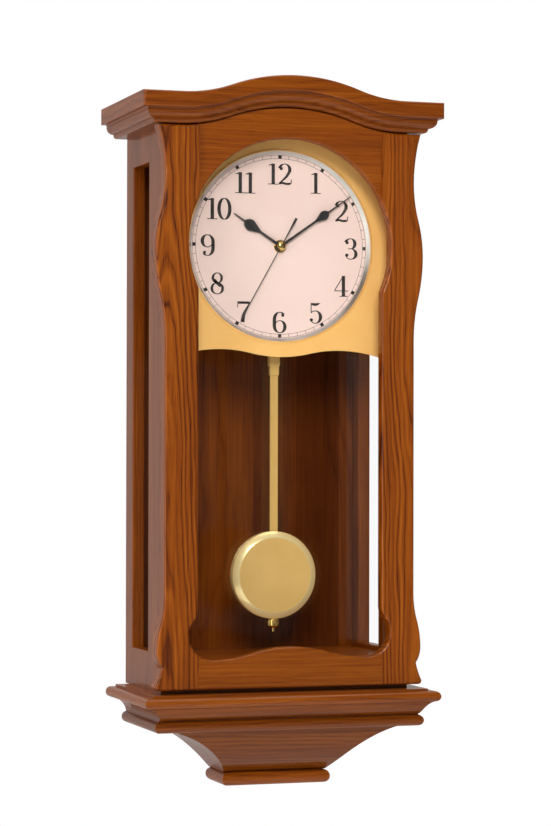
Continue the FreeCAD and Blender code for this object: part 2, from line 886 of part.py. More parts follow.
def make_glazing():
    """The pane in its rebate and the four strips that hold it."""
    half = d.glass_width / 2 - d.glass_play
    pane_front = -door_rear - d.rebate_deep
    pane_rear = pane_front + d.glass_thick
    box("door_glass", -half, half, pane_front, pane_rear, d.glass_bottom, d.glass_top)
    edge = float(half)
    inner = edge - float(d.bead_strip)
    low = float(d.glass_bottom)
    high = float(d.glass_top)
    strip = float(d.bead_strip)
    rear = -float(door_rear)
    strips = [
        block(-edge, -inner, pane_rear, rear, low, high),
        block(inner, edge, pane_rear, rear, low, high),
        block(-inner, inner, pane_rear, rear, low, low + strip + 4),
        block(-inner, inner, pane_rear, rear, high - strip + 1, high),
    ]
    feature("glass_beads", Part.makeCompound(strips))


CATCH_BOTTOM = 185
CATCH_TOP = 215
CATCH_WALL = 4
MAGNET_FRONT = -128.2
MAGNET_FIT = 0.1
STRIKE_SCREW_RADIUS = 1.6


def make_catch():
    """Magnetic catch on the left side panel and its strike plate on the door."""
    low = CATCH_BOTTOM + CATCH_WALL
    high = CATCH_TOP - CATCH_WALL
    body = block(-111.9, -100, MAGNET_FRONT + 0.6, -114, CATCH_BOTTOM, CATCH_TOP)
    body = body.cut(block(-110, -102, MAGNET_FRONT, -120, low, high))
    magnet = block(-110 + MAGNET_FIT, -102 - MAGNET_FIT, MAGNET_FRONT, -120 - MAGNET_FIT,
                   low + MAGNET_FIT, high - MAGNET_FIT)
    feature("magnet_catch", Part.makeCompound([body, magnet]))
    strike = block(-111.5, -97, -129.5, -128.7, CATCH_BOTTOM + 3, CATCH_TOP - 3)
    hole = rod_y(STRIKE_SCREW_RADIUS, -131, -128, -99.5, (CATCH_BOTTOM + CATCH_TOP) / 2)
    feature("strike_plate", strike.cut(hole))


KNUCKLE_GAP = 0.3
MIDDLE_KNUCKLE = (13.1, 26.9)
PIN_PLAY = 0.05
CASE_LEAF_EDGE = 113
DOOR_LEAF_EDGE = 111


def make_hinges():
    """Two butt hinges: the case leaf holds the outer knuckles and the door leaf the middle one."""
    reach = float(d.hinge_reach)
    plane = -float(d.hinge_plane)
    outer = float(d.knuckle_radius)
    length = float(d.hinge_length)
    leaf = float(d.leaf)
    case_leaves, door_leaves, pins = [], [], []
    near, far = MIDDLE_KNUCKLE
    bands = [(0, near - KNUCKLE_GAP), MIDDLE_KNUCKLE, (far + KNUCKLE_GAP, length)]
    pin_radius = float(d.hinge_pin_radius)
    side = reach - outer - KNUCKLE_GAP
    for centre in (float(d.lower_hinge), float(d.upper_hinge)):
        low = centre - length / 2
        for index, (start, end) in enumerate(bands):
            at = Vector(reach, plane, low + start)
            knuckle = Part.makeCylinder(outer, end - start, at)
            if index == 1:
                rear = -float(door_rear)
                tab = block(reach - outer - 0.4, reach, rear - leaf, rear, low + start, low + end)
                plate = block(DOOR_LEAF_EDGE, side, rear - leaf, rear, low, low + length)
                bore = Part.makeCylinder(pin_radius + PIN_PLAY, end - start, at)
                door_leaves.append(plate.fuse([tab, knuckle]).cut(bore))
            else:
                rear = -float(d.case_depth)
                tab = block(reach - outer - 0.4, reach, rear, rear + leaf, low + start, low + end)
                bore = Part.makeCylinder(pin_radius, end - start, at)
                ear = tab.fuse(knuckle).cut(bore)
                if index == 0:
                    plate = block(CASE_LEAF_EDGE, side, rear, rear + leaf, low, low + length)
                    case_leaf = plate.fuse(ear)
                else:
                    case_leaf = case_leaf.fuse(ear)
                    case_leaves.append(case_leaf)
        pins.append(Part.makeCylinder(pin_radius, length, Vector(reach, plane, low)))
    feature("hinge_leaves_case", Part.makeCompound(case_leaves))
    feature("hinge_leaves_door", Part.makeCompound(door_leaves))
    feature("hinge_pins", Part.makeCompound(pins))


# ---------------------------------------------------------------- dial

SCREW_REACH = 106
SCREW_HEIGHTS = (350, 520)


RING_WIDTH = 1.8
RING_HEIGHT = 1
DIAL_RADIUS = 91.5
DIAL_BORE = 4.2


def make_dial_plate():
    """Brass plate with a wavy lower edge, a round hole and a raised ring round it."""
    body = new_body("dial_plate")
    half = half_inside - 0.5
    pitch = d.plate_pitch
    low = d.plate_low - d.dial_height
    high = low + d.plate_wave
    top = d.plate_top - d.dial_height
    past = float(half) - float(pitch)
    end_bend = math.tan(math.atan2(float(d.plate_droop), past) / 2)
    end_level = high - d.plate_droop
    path = [(-half, end_level, -end_bend)]
    path += steer((-pitch, high), (0, low), turn=-1)
    path += steer((0, low), (pitch, high), turn=1)
    path += [(pitch, high, -end_bend), (half, end_level), (half, top), (-half, top)]
    circles = [(0, 0, d.dial_hole)]
    for x in (-SCREW_REACH, SCREW_REACH):
        circles += [(x, height - d.dial_height, 1.4) for height in SCREW_HEIGHTS]
    pad(body, new_sketch(body, "XZ", [path], circles), d.plate_thick)
    inner = d.dial_hole
    face = -d.plate_thick
    outer = inner + RING_WIDTH
    crest = face - RING_HEIGHT
    section = [(inner, face + 0.2), (outer, face + 0.2), (outer, face - 0.1, bulge(-60)),
               (inner + 0.8, crest), (inner, crest)]
    turn(body, new_sketch(body, "XY", [section]))
    place(body, y=-d.plate_front + d.plate_thick, height=d.dial_height)


def make_dial():
    """Printed dial and the sloping silver ring in front of its rim."""
    disc = new_body("dial_disc")
    pad(disc, new_sketch(disc, "XZ", [], [(0, 0, DIAL_RADIUS), (0, 0, DIAL_BORE)]), d.dial_thick)
    place(disc, y=-d.dial_front + d.dial_thick, height=d.dial_height)

    ring = new_body("dial_ring")
    outer = d.dial_hole - 0.2
    inner = d.ring_inner
    depth = d.ring_front - d.dial_front
    section = [(inner, 0), (inner + 0.7, 0), (outer, -depth + 0.6), (outer, -depth)]
    turn(ring, new_sketch(ring, "XY", [section]))
    place(ring, y=-d.dial_front, height=d.dial_height)


def make_dial_supports():
    """Two battens that carry the brass plate, and its screws."""
    rear = -float(d.plate_front - d.plate_thick)
    inside = float(half_inside)
    battens = [
        block(-inside, -inside + 12, rear, rear + 12, 335, 532),
        block(inside - 12, inside, rear, rear + 12, 335, 532),
    ]
    feature("dial_battens", Part.makeCompound(battens))
    screws = []
    for x in (-SCREW_REACH, SCREW_REACH):
        for z in SCREW_HEIGHTS:
            head = rod_y(2.6, rear - 2.4, rear - 1, x, z)
            screws.append(head.fuse(rod_y(1.2, rear - 1, rear + 9, x, z)))
    feature("dial_screws", Part.makeCompound(screws))


# ---------------------------------------------------------------- hands

HAND_THICK = 0.5
SECOND_THICK = 0.4


def hand_body(label, stem, blob_at, blob_width, needle, length, boss, hole):
    """A spade hand that points up, with a round boss and its hole."""
    body = new_body(label)
    half = blob_width / 2
    outline = [
        (-stem, 0), (stem, 0), (stem * 0.8, blob_at - blob_width), (half, blob_at, bulge(70)),
        (needle * 1.6, blob_at + blob_width * 0.75), (needle, length),
        (-needle, length), (-needle * 1.6, blob_at + blob_width * 0.75, bulge(70)),
        (-half, blob_at), (-stem * 0.8, blob_at - blob_width),
    ]
    pad(body, new_sketch(body, "XZ", [outline]), HAND_THICK)
    pad(body, new_sketch(body, "XZ", [], [(0, 0, boss)]), HAND_THICK)
    pocket(body, new_sketch(body, "XZ", [], [(0, 0, hole)]), HAND_THICK, reverse=True)
    return body


def aim(body, angle):
    """Turns a hand clockwise from twelve o'clock, seen from the front."""
    body.setExpression("Placement.Rotation.Angle", angle.text)
    body.Placement.Rotation = FreeCAD.Rotation(Vector(0, 1, 0), float(angle))


def make_hands():
    hour = hand_body("hour_hand", 1.5, 35.2, 11, 0.55, d.hour_length, 5, 2.6)
    aim(hour, d.hour_angle)
    place(hour, y=-d.dial_front - d.hour_clear, height=d.dial_height)
    minute = hand_body("minute_hand", 1.3, 53, 9, 0.5, d.minute_length, 4.2, 1.7)
    aim(minute, d.minute_angle)
    place(minute, y=-d.dial_front - d.minute_clear, height=d.dial_height)

    second = new_body("second_hand")
    tail = -d.second_tail
    outline = [(-1.3, tail), (1.3, tail), (0.45, -8), (0.45, d.second_length - 20),
               (0.75, d.second_length), (-0.75, d.second_length), (-0.45, d.second_length - 20),
               (-0.45, -8)]
    pad(second, new_sketch(second, "XZ", [outline]), SECOND_THICK)
    pad(second, new_sketch(second, "XZ", [], [(0, 0, 3)]), SECOND_THICK)
    pocket(second, new_sketch(second, "XZ", [], [(0, 0, 0.75)]), SECOND_THICK, reverse=True)
    aim(second, d.second_angle)
    place(second, y=-d.dial_front - d.second_clear, height=d.dial_height)

    cap = new_body("hand_cap")
    section = [(0, -0.4), (4.5, -0.4), (4.5, -1), (3.6, -2.2, -bulge(40)), (0, -2.9)]
    turn(cap, new_sketch(cap, "XY", [section]))
    place(cap, y=-d.dial_front - d.second_clear, height=d.dial_height)


# ---------------------------------------------------------------- movement

def toothed(teeth, module, thick):
    """Wheel with straight-sided teeth that have room to turn: it lies in XZ, from y = 0 back."""
    pitch = module * teeth / 2
    outer = pitch + 0.8 * module
    root = pitch - 1.1 * module
    step = 2 * math.pi / teeth
    points = []
    for tooth in range(teeth):
        middle = tooth * step
        for radius, share in ((root, -0.24), (outer, -0.11), (outer, 0.11), (root, 0.24)):
            angle = middle + share * step
            points.append(Vector(radius * math.sin(angle), 0, radius * math.cos(angle)))
    return Part.Face(Part.makePolygon(points + points[:1])).extrude(Vector(0, thick, 0))


SHELL_WALL = 1.5
ARBOR_RADIUS = 0.7
ARBOR_DROP = 12
BUTTON_RADIUS = 2
BUTTON_REACH = 12
BUTTON_DROP = 20
BUSH_BORE = 2.65
BUSH_RADIUS = 4
NUT_RADIUS = 6.2
NUT_THICK = 1.2
PIPE_RADIUS = 2.6
PIPE_BORE = 1.75
CANNON_RADIUS = 1.7
CANNON_BORE = 0.8
SECONDS_ARBOR = 0.75
HOUR_MODULE = 0.48
MINUTE_MODULE = 0.5
SECONDS_MODULE = 0.3
HOUR_WHEEL_BACK = 4.1
CANNON_BACK = 6.2
SECONDS_BACK = 9.5
BOARD_BACK = 11


def make_movement():
    """Battery movement: two housing shells, bush and nut, motion work, board, coils and cell.

    Wheels are placed by how far they sit behind the dial's face.
    """
    half = float(d.movement_size) / 2
    inner = half - SHELL_WALL
    front = -float(d.movement_front)
    rear = -float(d.movement_rear)
    middle = front + 9
    shell = block(-half, half, front, middle, -half, half)
    shell = shell.cut(block(-inner, inner, front + SHELL_WALL, middle, -inner, inner))
    shell = shell.cut(rod_y(BUSH_RADIUS, front - 1, front + 3))
    arbor = rod_y(ARBOR_RADIUS, front + SHELL_WALL, front + 7, 0, -ARBOR_DROP)
    feature("movement_front", shell.fuse(arbor), height=d.dial_height)

    shell = block(-half, half, middle, rear, -half, half)
    shell = shell.cut(block(-inner, inner, middle, rear - SHELL_WALL, -inner, inner))
    bay_wall = block(-26.3, 26.3, rear - 12, rear, 7, 25)
    bay = block(-25.8, 25.8, rear - 11.3, rear + 1, 8.2, 23.8)
    boss = rod_y(2.2, rear - 5, rear - SHELL_WALL).cut(rod_y(SECONDS_ARBOR + 0.05, rear - 6, rear - 2))
    shell = shell.fuse(bay_wall).cut(bay).fuse(boss)
    for x in (-BUTTON_REACH, BUTTON_REACH):
        shell = shell.cut(rod_y(BUTTON_RADIUS + 0.05, rear - 2, rear + 1, x, -BUTTON_DROP))
    feature("movement_rear", shell, height=d.dial_height)

    bush = new_body("movement_bush")
    bush_length = 4.2 + 0.6
    section = [(BUSH_BORE, 0), (BUSH_RADIUS, 0), (BUSH_RADIUS, -bush_length), (BUSH_BORE, -bush_length)]
    turn(bush, new_sketch(bush, "XY", [section]))
    place(bush, y=-float(d.movement_front) + SHELL_WALL, height=d.dial_height)

    nut = new_body("movement_nut")
    pad(nut, new_sketch(nut, "XZ", [], [(0, 0, NUT_RADIUS), (0, 0, BUSH_RADIUS)]), NUT_THICK)
    place(nut, y=-d.dial_front, height=d.dial_height)

    dial = -float(d.dial_front)
    hour_end = dial - float(d.hour_clear) - HAND_THICK
    hour_pipe = rod_y(PIPE_RADIUS, hour_end, dial + 5.1).cut(rod_y(PIPE_BORE, hour_end - 1, dial + 5.5))
    hour_wheel = toothed(40, HOUR_MODULE, 1)
    hour_wheel.translate(Vector(0, dial + HOUR_WHEEL_BACK, 0))
    hour_wheel = hour_wheel.cut(rod_y(2, dial + 3.5, dial + 5.5)).fuse(hour_pipe)
    feature("hour_wheel", hour_wheel, height=d.dial_height)

    cannon = toothed(12, MINUTE_MODULE, 1.4)
    cannon.translate(Vector(0, dial + CANNON_BACK, 0))
    minute_end = dial - float(d.minute_clear) - HAND_THICK
    cannon = cannon.fuse(rod_y(CANNON_RADIUS, minute_end, dial + 7.6))
    cannon = cannon.cut(rod_y(CANNON_BORE, minute_end - 1, dial + 8.5))
    feature("minute_cannon", cannon, height=d.dial_height)

    wheel = toothed(36, MINUTE_MODULE, 1)
    wheel.rotate(Vector(0, 0, 0), Vector(0, 1, 0), 5)
    wheel.translate(Vector(0, dial + CANNON_BACK + 0.2, 0))
    pinion = toothed(10, HOUR_MODULE, 2.1)
    pinion.rotate(Vector(0, 0, 0), Vector(0, 1, 0), 18)
    pinion.translate(Vector(0, dial + HOUR_WHEEL_BACK + 0.2, 0))
    motion = wheel.fuse(pinion).cut(rod_y(ARBOR_RADIUS + 0.05, dial + 3.5, dial + 8.5))
    feature("motion_wheel", motion, height=d.dial_height - ARBOR_DROP)

    seconds = toothed(40, SECONDS_MODULE, 0.8)
    seconds.translate(Vector(0, dial + SECONDS_BACK, 0))
    second_end = dial - float(d.second_clear) - SECOND_THICK
    seconds = seconds.fuse(rod_y(SECONDS_ARBOR, second_end, dial + 14.5))
    feature("seconds_wheel", seconds, height=d.dial_height)

    board = block(-25, 25, dial + BOARD_BACK, dial + BOARD_BACK + 1.2, -25, 6)
    board = board.cut(rod_y(1.2, dial + 10.5, dial + 12.5))
    feature("circuit_board", board, height=d.dial_height)
    coils = []
    for x in (-17, 17):
        core = Part.makeBox(4, 3, 18, Vector(x - 2, dial + 6.9, -18))
        winding = Part.makeCylinder(2.0, 12, Vector(x, dial + 8.4, -15))
        coils.append(core.fuse(winding))
    feature("motor_coils", Part.makeCompound(coils), height=d.dial_height)

    feature("battery", battery_shape(), height=d.dial_height)
    contacts = [
        block(-25.7, -25.2, dial + 9.5, dial + 16.5, 10, 22),
        block(25.2, 25.7, dial + 9.5, dial + 16.5, 10, 22),
    ]
    feature("battery_contacts", Part.makeCompound(contacts), height=d.dial_height)

    for label, x in (("set_button", -BUTTON_REACH), ("reset_button", BUTTON_REACH)):
        stem = rod_y(BUTTON_RADIUS, rear - 2.5, rear + 1.6)
        collar = rod_y(BUTTON_RADIUS + 0.8, rear - 3.2, rear - 1.8)
        feature(label, stem.fuse(collar), x=x, height=d.dial_height - BUTTON_DROP)


CELL_RADIUS = 7.1
CELL_LENGTH = 48
CELL_START = -24.6
CELL_HEIGHT = 16


def battery_shape():
    """An AA cell lying in its bay."""
    depth = -float(d.dial_front) + 13.6
    start = Vector(CELL_START, depth, CELL_HEIGHT)
    end = Vector(CELL_START + CELL_LENGTH, depth, CELL_HEIGHT)
    body = Part.makeCylinder(CELL_RADIUS, CELL_LENGTH, start, Vector(1, 0, 0))
    tip = Part.makeCylinder(2.7, 1.2, end, Vector(1, 0, 0))
    return body.fuse(tip)


# ---------------------------------------------------------------- pendulum

DRIVE_REAR = -96
DRIVE_BOTTOM = 346
DRIVE_TOP = 398
MAGNET_HEIGHT = 360
MAGNET_RADIUS = 4
MAGNET_THICK = 2
PIN_RADIUS = 1.5
PIN_END = -85.5
EYE_RADIUS = 5
HANGER_DEEP = 3.5
NECK_DEEP = 2.6
NECK_BOTTOM = 304
HANGER_BOTTOM = 313
ROD_TOP = 372
GROOVE_REACH = 1.9
GROOVE_DEEP = 0.5


def make_pendulum_drive():
    """Coil box under the movement with the pin that the pendulum hangs on."""
    front = -float(d.movement_front)
    shell = block(-20, 20, front, DRIVE_REAR, DRIVE_BOTTOM, DRIVE_TOP)
    hollow = block(-20 + SHELL_WALL, 20 - SHELL_WALL, front + SHELL_WALL, DRIVE_REAR - SHELL_WALL,
                   DRIVE_BOTTOM + SHELL_WALL, DRIVE_TOP - SHELL_WALL)
    feature("drive_box", shell.cut(hollow))
    coil = rod_y(9, -104, -98.2, 0, MAGNET_HEIGHT).cut(rod_y(3, -105, -98, 0, MAGNET_HEIGHT))
    feature("drive_coil", coil)
    pin = rod_y(PIN_RADIUS, DRIVE_REAR - SHELL_WALL, PIN_END).fuse(rod_y(3.2, PIN_END, PIN_END + 1))
    feature("pivot_pin", pin, height=d.pivot_height)


def make_pendulum():
    """Hanger with its eye and magnet, and the ribbed rod."""
    plane = -float(d.pendulum_plane)
    eye = float(d.pivot_height)
    front, rear = plane - HANGER_DEEP, plane + HANGER_DEEP
    hanger = rod_y(EYE_RADIUS, front, rear, 0, eye)
    hanger = hanger.fuse(block(-EYE_RADIUS, EYE_RADIUS, front, rear, HANGER_BOTTOM, eye))
    hanger = hanger.fuse(block(-4.4, 4.4, plane - NECK_DEEP, plane + NECK_DEEP, NECK_BOTTOM, HANGER_BOTTOM))
    hanger = hanger.cut(rod_y(PIN_RADIUS + 0.05, plane - 5, plane + 5, 0, eye))
    half = float(d.rod_width) / 2
    thick = float(d.rod_thick) / 2
    hanger = hanger.cut(block(-half, half, plane - thick, plane + thick, NECK_BOTTOM - 1, ROD_TOP))
    hanger = hanger.cut(rod_y(MAGNET_RADIUS, front - 0.5, front + MAGNET_THICK, 0, MAGNET_HEIGHT))
    feature("pendulum_hanger", hanger)
    feature("drive_magnet", rod_y(MAGNET_RADIUS, front, front + MAGNET_THICK, 0, MAGNET_HEIGHT))

    low = float(d.rod_bottom)
    face = plane - thick
    rod = block(-half, half, face, plane + thick, low, ROD_TOP)
    for x in (-GROOVE_REACH, GROOVE_REACH):
        rod = rod.cut(block(x - 0.5, x + 0.5, face - 1, face + GROOVE_DEEP, low, ROD_TOP))
    feature("pendulum_rod", rod)
    screw_start = float(d.screw_bottom) - 0.6
    screw = Part.makeCylinder(float(d.screw_radius), low - screw_start, Vector(0, plane, screw_start))
    screw = screw.fuse(block(-2.5, 2.5, face, plane + thick, low - 1, low))
    feature("rating_screw", screw)


def make_bob():
    """Bevelled brass shell, back disc and the guide that slides on the rod."""
    wall = d.bob_wall
    front = -d.bob_front
    rear = -d.bob_rear
    edge = d.bob_radius
    flat = d.bob_flat
    shell = new_body("bob_shell")
    section = [
        (0, front), (flat, front, bulge(12)), (edge, front + 3.6), (edge, rear),
        (edge - wall, rear), (edge - wall, front + 3.9, bulge(-12)), (flat - 0.2, front + wall),
        (0, front + wall),
    ]
    turn(shell, new_sketch(shell, "XY", [section]))
    half = d.rod_width / 2 + 0.6
    plane = -d.pendulum_plane
    slot = rectangle(-half, half, plane - d.rod_thick / 2 - 0.6, plane + d.rod_thick / 2 + 0.6)
    pocket(shell, new_sketch(shell, "XY", [slot]), both_ways=True)
    place(shell, height=d.bob_height)

    plane = -float(d.pendulum_plane)
    half = float(d.rod_width) / 2
    thick = float(d.rod_thick) / 2
    disc = rod_y(float(edge - wall), float(rear) - 1, float(rear))
    guide = block(-half - 3, half + 3, plane - 2.6, float(rear) - 1, -30, 30)
    channel = block(-half - 0.15, half + 0.15, plane - thick - 0.15, plane + thick + 0.15, -31, 31)
    feature("bob_back", disc.fuse(guide).cut(channel), height=d.bob_height)


def make_rating_nut():
    """Knurled nut with a rounded lower end, running on the threaded tip."""
    nut = new_body("rating_nut")
    radius = d.nut_radius
    bore = d.screw_radius + 0.05
    low = -d.nut_height
    section = [(bore, 0), (radius - 0.6, 0), (radius, -0.6), (radius, low + 2.4, bulge(-55)),
               (radius - 2.6, low), (bore, low)]
    turn(nut, new_sketch(nut, "XZ", [section]))
    grooves = new_sketch(nut, "XY", [], [(radius + 0.25, 0, 0.5)])
    cut = pocket(nut, grooves, -low)
    pattern = nut.newObject("PartDesign::PolarPattern", "knurl")
    pattern.Originals = [cut]
    z_axis = [item for item in nut.Origin.OriginFeatures if item.Role == "Z_Axis"][0]
    pattern.Axis = (z_axis, [""])
    pattern.Angle = 360
    pattern.Occurrences = 24
    nut.Tip = pattern
    place(nut, y=-d.pendulum_plane, height=d.nut_top)


make_back_panel()
make_hanger()
make_side_panel("side_panel_left", True)
make_side_panel("side_panel_right", False)
make_boards()
make_cornice_slab()
make_cornice_moulding()
make_plinth()
make_plinth_moulding()
make_console()
make_foot()
make_stile("stile_left", True)
make_stile("stile_right", False)
make_header()
make_rail()
make_glazing()
make_catch()
make_hinges()
make_dial_plate()
make_dial()
make_dial_supports()
make_hands()
make_movement()
make_pendulum_drive()
make_pendulum()
make_bob()
make_rating_nut()
check_and_export()
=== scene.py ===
import math

import bmesh
import bpy
from mathutils import Matrix, Vector


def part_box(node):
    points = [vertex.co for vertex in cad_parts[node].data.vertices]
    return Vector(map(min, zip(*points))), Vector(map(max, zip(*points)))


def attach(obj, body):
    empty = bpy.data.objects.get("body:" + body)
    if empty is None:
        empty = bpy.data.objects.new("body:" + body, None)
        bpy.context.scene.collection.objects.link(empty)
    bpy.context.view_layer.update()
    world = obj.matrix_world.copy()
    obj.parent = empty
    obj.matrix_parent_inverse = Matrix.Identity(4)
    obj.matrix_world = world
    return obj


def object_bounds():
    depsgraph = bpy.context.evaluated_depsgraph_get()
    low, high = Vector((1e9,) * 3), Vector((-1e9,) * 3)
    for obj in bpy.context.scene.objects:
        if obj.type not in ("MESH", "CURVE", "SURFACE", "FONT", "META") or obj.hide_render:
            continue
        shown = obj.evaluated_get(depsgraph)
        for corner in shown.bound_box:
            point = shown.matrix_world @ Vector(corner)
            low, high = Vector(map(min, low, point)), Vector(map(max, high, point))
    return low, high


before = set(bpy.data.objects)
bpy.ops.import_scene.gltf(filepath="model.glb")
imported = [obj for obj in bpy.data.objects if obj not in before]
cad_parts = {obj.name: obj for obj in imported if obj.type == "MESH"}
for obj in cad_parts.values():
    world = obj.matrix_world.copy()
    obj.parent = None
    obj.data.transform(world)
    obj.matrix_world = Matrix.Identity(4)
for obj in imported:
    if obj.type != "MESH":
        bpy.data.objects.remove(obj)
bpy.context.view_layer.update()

# The wall clock's looks. Distances are in metres, as in the frame.
# X is to the clock's right, Y is into the wall and Z is up.

MM = 0.001


def low(node):
    """Lowest corner of a CAD node."""
    return Vector(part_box(node)[0])


def high(node):
    """Highest corner of a CAD node."""
    return Vector(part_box(node)[1])


def middle(node):
    """Centre of a CAD node's box."""
    return (low(node) + high(node)) / 2


def linear(red, green, blue):
    """A colour given in 0..255 sRGB, as the linear RGBA that sockets take."""
    steps = [c / 255 for c in (red, green, blue)]
    return tuple([c / 12.92 if c <= 0.04045 else ((c + 0.055) / 1.055) ** 2.4 for c in steps] + [1])


# ---------------------------------------------------------------- camera, light and floor

CAMERA_AT = (-0.8024, -2.5336, -0.2764)
CAMERA_YAW = -0.318
CAMERA_PITCH = 0.015
CAMERA_ROLL = 0.002
CAMERA_LENS = 114.8

FLOOR_DROP = 0.75
FLOOR_RADIUS = 3.2

# Strength of the fill light in front of the clock and behind it, and the two places along Y,
# on a sphere of radius 1, between which one turns into the other.
FILL_FRONT = 0.05
FILL_BEHIND = 0.65
FILL_TURN = (-0.35, 0.25)


def make_camera():
    """A long lens, a little to the left of the clock and level with its middle."""
    data = bpy.data.cameras.new("camera")
    data.sensor_fit = "AUTO"
    data.sensor_width = 36
    data.lens = CAMERA_LENS
    camera = bpy.data.objects.new("camera", data)
    heading = Matrix.Rotation(CAMERA_YAW, 4, "Z") @ Matrix.Rotation(math.pi / 2 + CAMERA_PITCH, 4, "X")
    camera.location = CAMERA_AT
    camera.rotation_euler = (heading @ Matrix.Rotation(CAMERA_ROLL, 4, "Z")).to_euler()
    bpy.context.scene.collection.objects.link(camera)
    bpy.context.scene.camera = camera


def softbox(name, at, aim, size, power, colour=(1, 1, 1)):
    """A soft rectangular light that points at aim."""
    data = bpy.data.lights.new(name, "AREA")
    data.shape = "RECTANGLE"
    data.size, data.size_y = size
    data.energy = power
    data.color = colour
    light = bpy.data.objects.new(name, data)
    light.location = at
    light.rotation_euler = (Vector(aim) - Vector(at)).to_track_quat("-Z", "Y").to_euler()
    bpy.context.scene.collection.objects.link(light)


def make_world():
    """White for the camera. The fill that lights the clock is bright behind it and dim in front."""
    world = bpy.data.worlds.new("studio")
    world.use_nodes = True
    nodes, links = world.node_tree.nodes, world.node_tree.links
    seen = nodes["Background"]
    seen.inputs["Color"].default_value = (1, 1, 1, 1)
    fill = nodes.new("ShaderNodeBackground")
    fill.inputs["Color"].default_value = (1, 0.98, 0.96, 1)
    toward = nodes.new("ShaderNodeSeparateXYZ")
    links.new(nodes.new("ShaderNodeTexCoord").outputs["Generated"], toward.inputs[0])
    depth = nodes.new("ShaderNodeMapRange")
    depth.interpolation_type = "SMOOTHSTEP"
    depth.inputs["From Min"].default_value = FILL_TURN[0]
    depth.inputs["From Max"].default_value = FILL_TURN[1]
    depth.inputs["To Min"].default_value = FILL_FRONT
    depth.inputs["To Max"].default_value = FILL_BEHIND
    links.new(toward.outputs["Y"], depth.inputs["Value"])
    links.new(depth.outputs["Result"], fill.inputs["Strength"])
    path = nodes.new("ShaderNodeLightPath")
    choose = nodes.new("ShaderNodeMixShader")
    links.new(path.outputs["Is Camera Ray"], choose.inputs["Fac"])
    links.new(fill.outputs["Background"], choose.inputs[1])
    links.new(seen.outputs["Background"], choose.inputs[2])
    links.new(choose.outputs["Shader"], nodes["World Output"].inputs["Surface"])
    bpy.context.scene.world = world
    bpy.context.scene.view_settings.view_transform = "Standard"


def make_lights():
    """A high key, a wall of light on the left, a dim card for the brass and a lamp over the floor."""
    heart = (0, -0.1, -0.2)
    softbox("key", (-0.6, -2.6, 1.0), heart, (1.0, 1.1), 56, (1, 0.98, 0.95))
    softbox("left", (-2.2, -1.3, -0.3), heart, (1.0, 1.8), 26, (1, 0.97, 0.94))
    softbox("glow", (0.95, -2.7, -0.35), heart, (0.9, 1.5), 0.9, (1, 0.98, 0.95))
    softbox("overhead", (0, -0.4, 3.2), (0, -0.4, 0), (3.0, 3.0), 95)


def make_floor():
    """A plain pale floor, well below the hanging clock."""
    shape = bmesh.new()
    bmesh.ops.create_circle(shape, cap_ends=True, segments=96, radius=FLOOR_RADIUS)
    data = bpy.data.meshes.new("floor")
    shape.to_mesh(data)
    shape.free()
    floor = bpy.data.objects.new("floor", data)
    floor.location = (0, 0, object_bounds()[0][2] - FLOOR_DROP)
    bpy.context.scene.collection.objects.link(floor)
    surface = Surface("pale_floor", roughness=0.9, specular=0.2)
    tint = surface.noise(surface.place(), scale=3, detail=2)
    surface.colour(surface.ramp(tint, [(0.3, (238, 238, 238)), (0.7, (246, 246, 246))]))
    data.materials.append(surface.material)


# ---------------------------------------------------------------- building surfaces from nodes

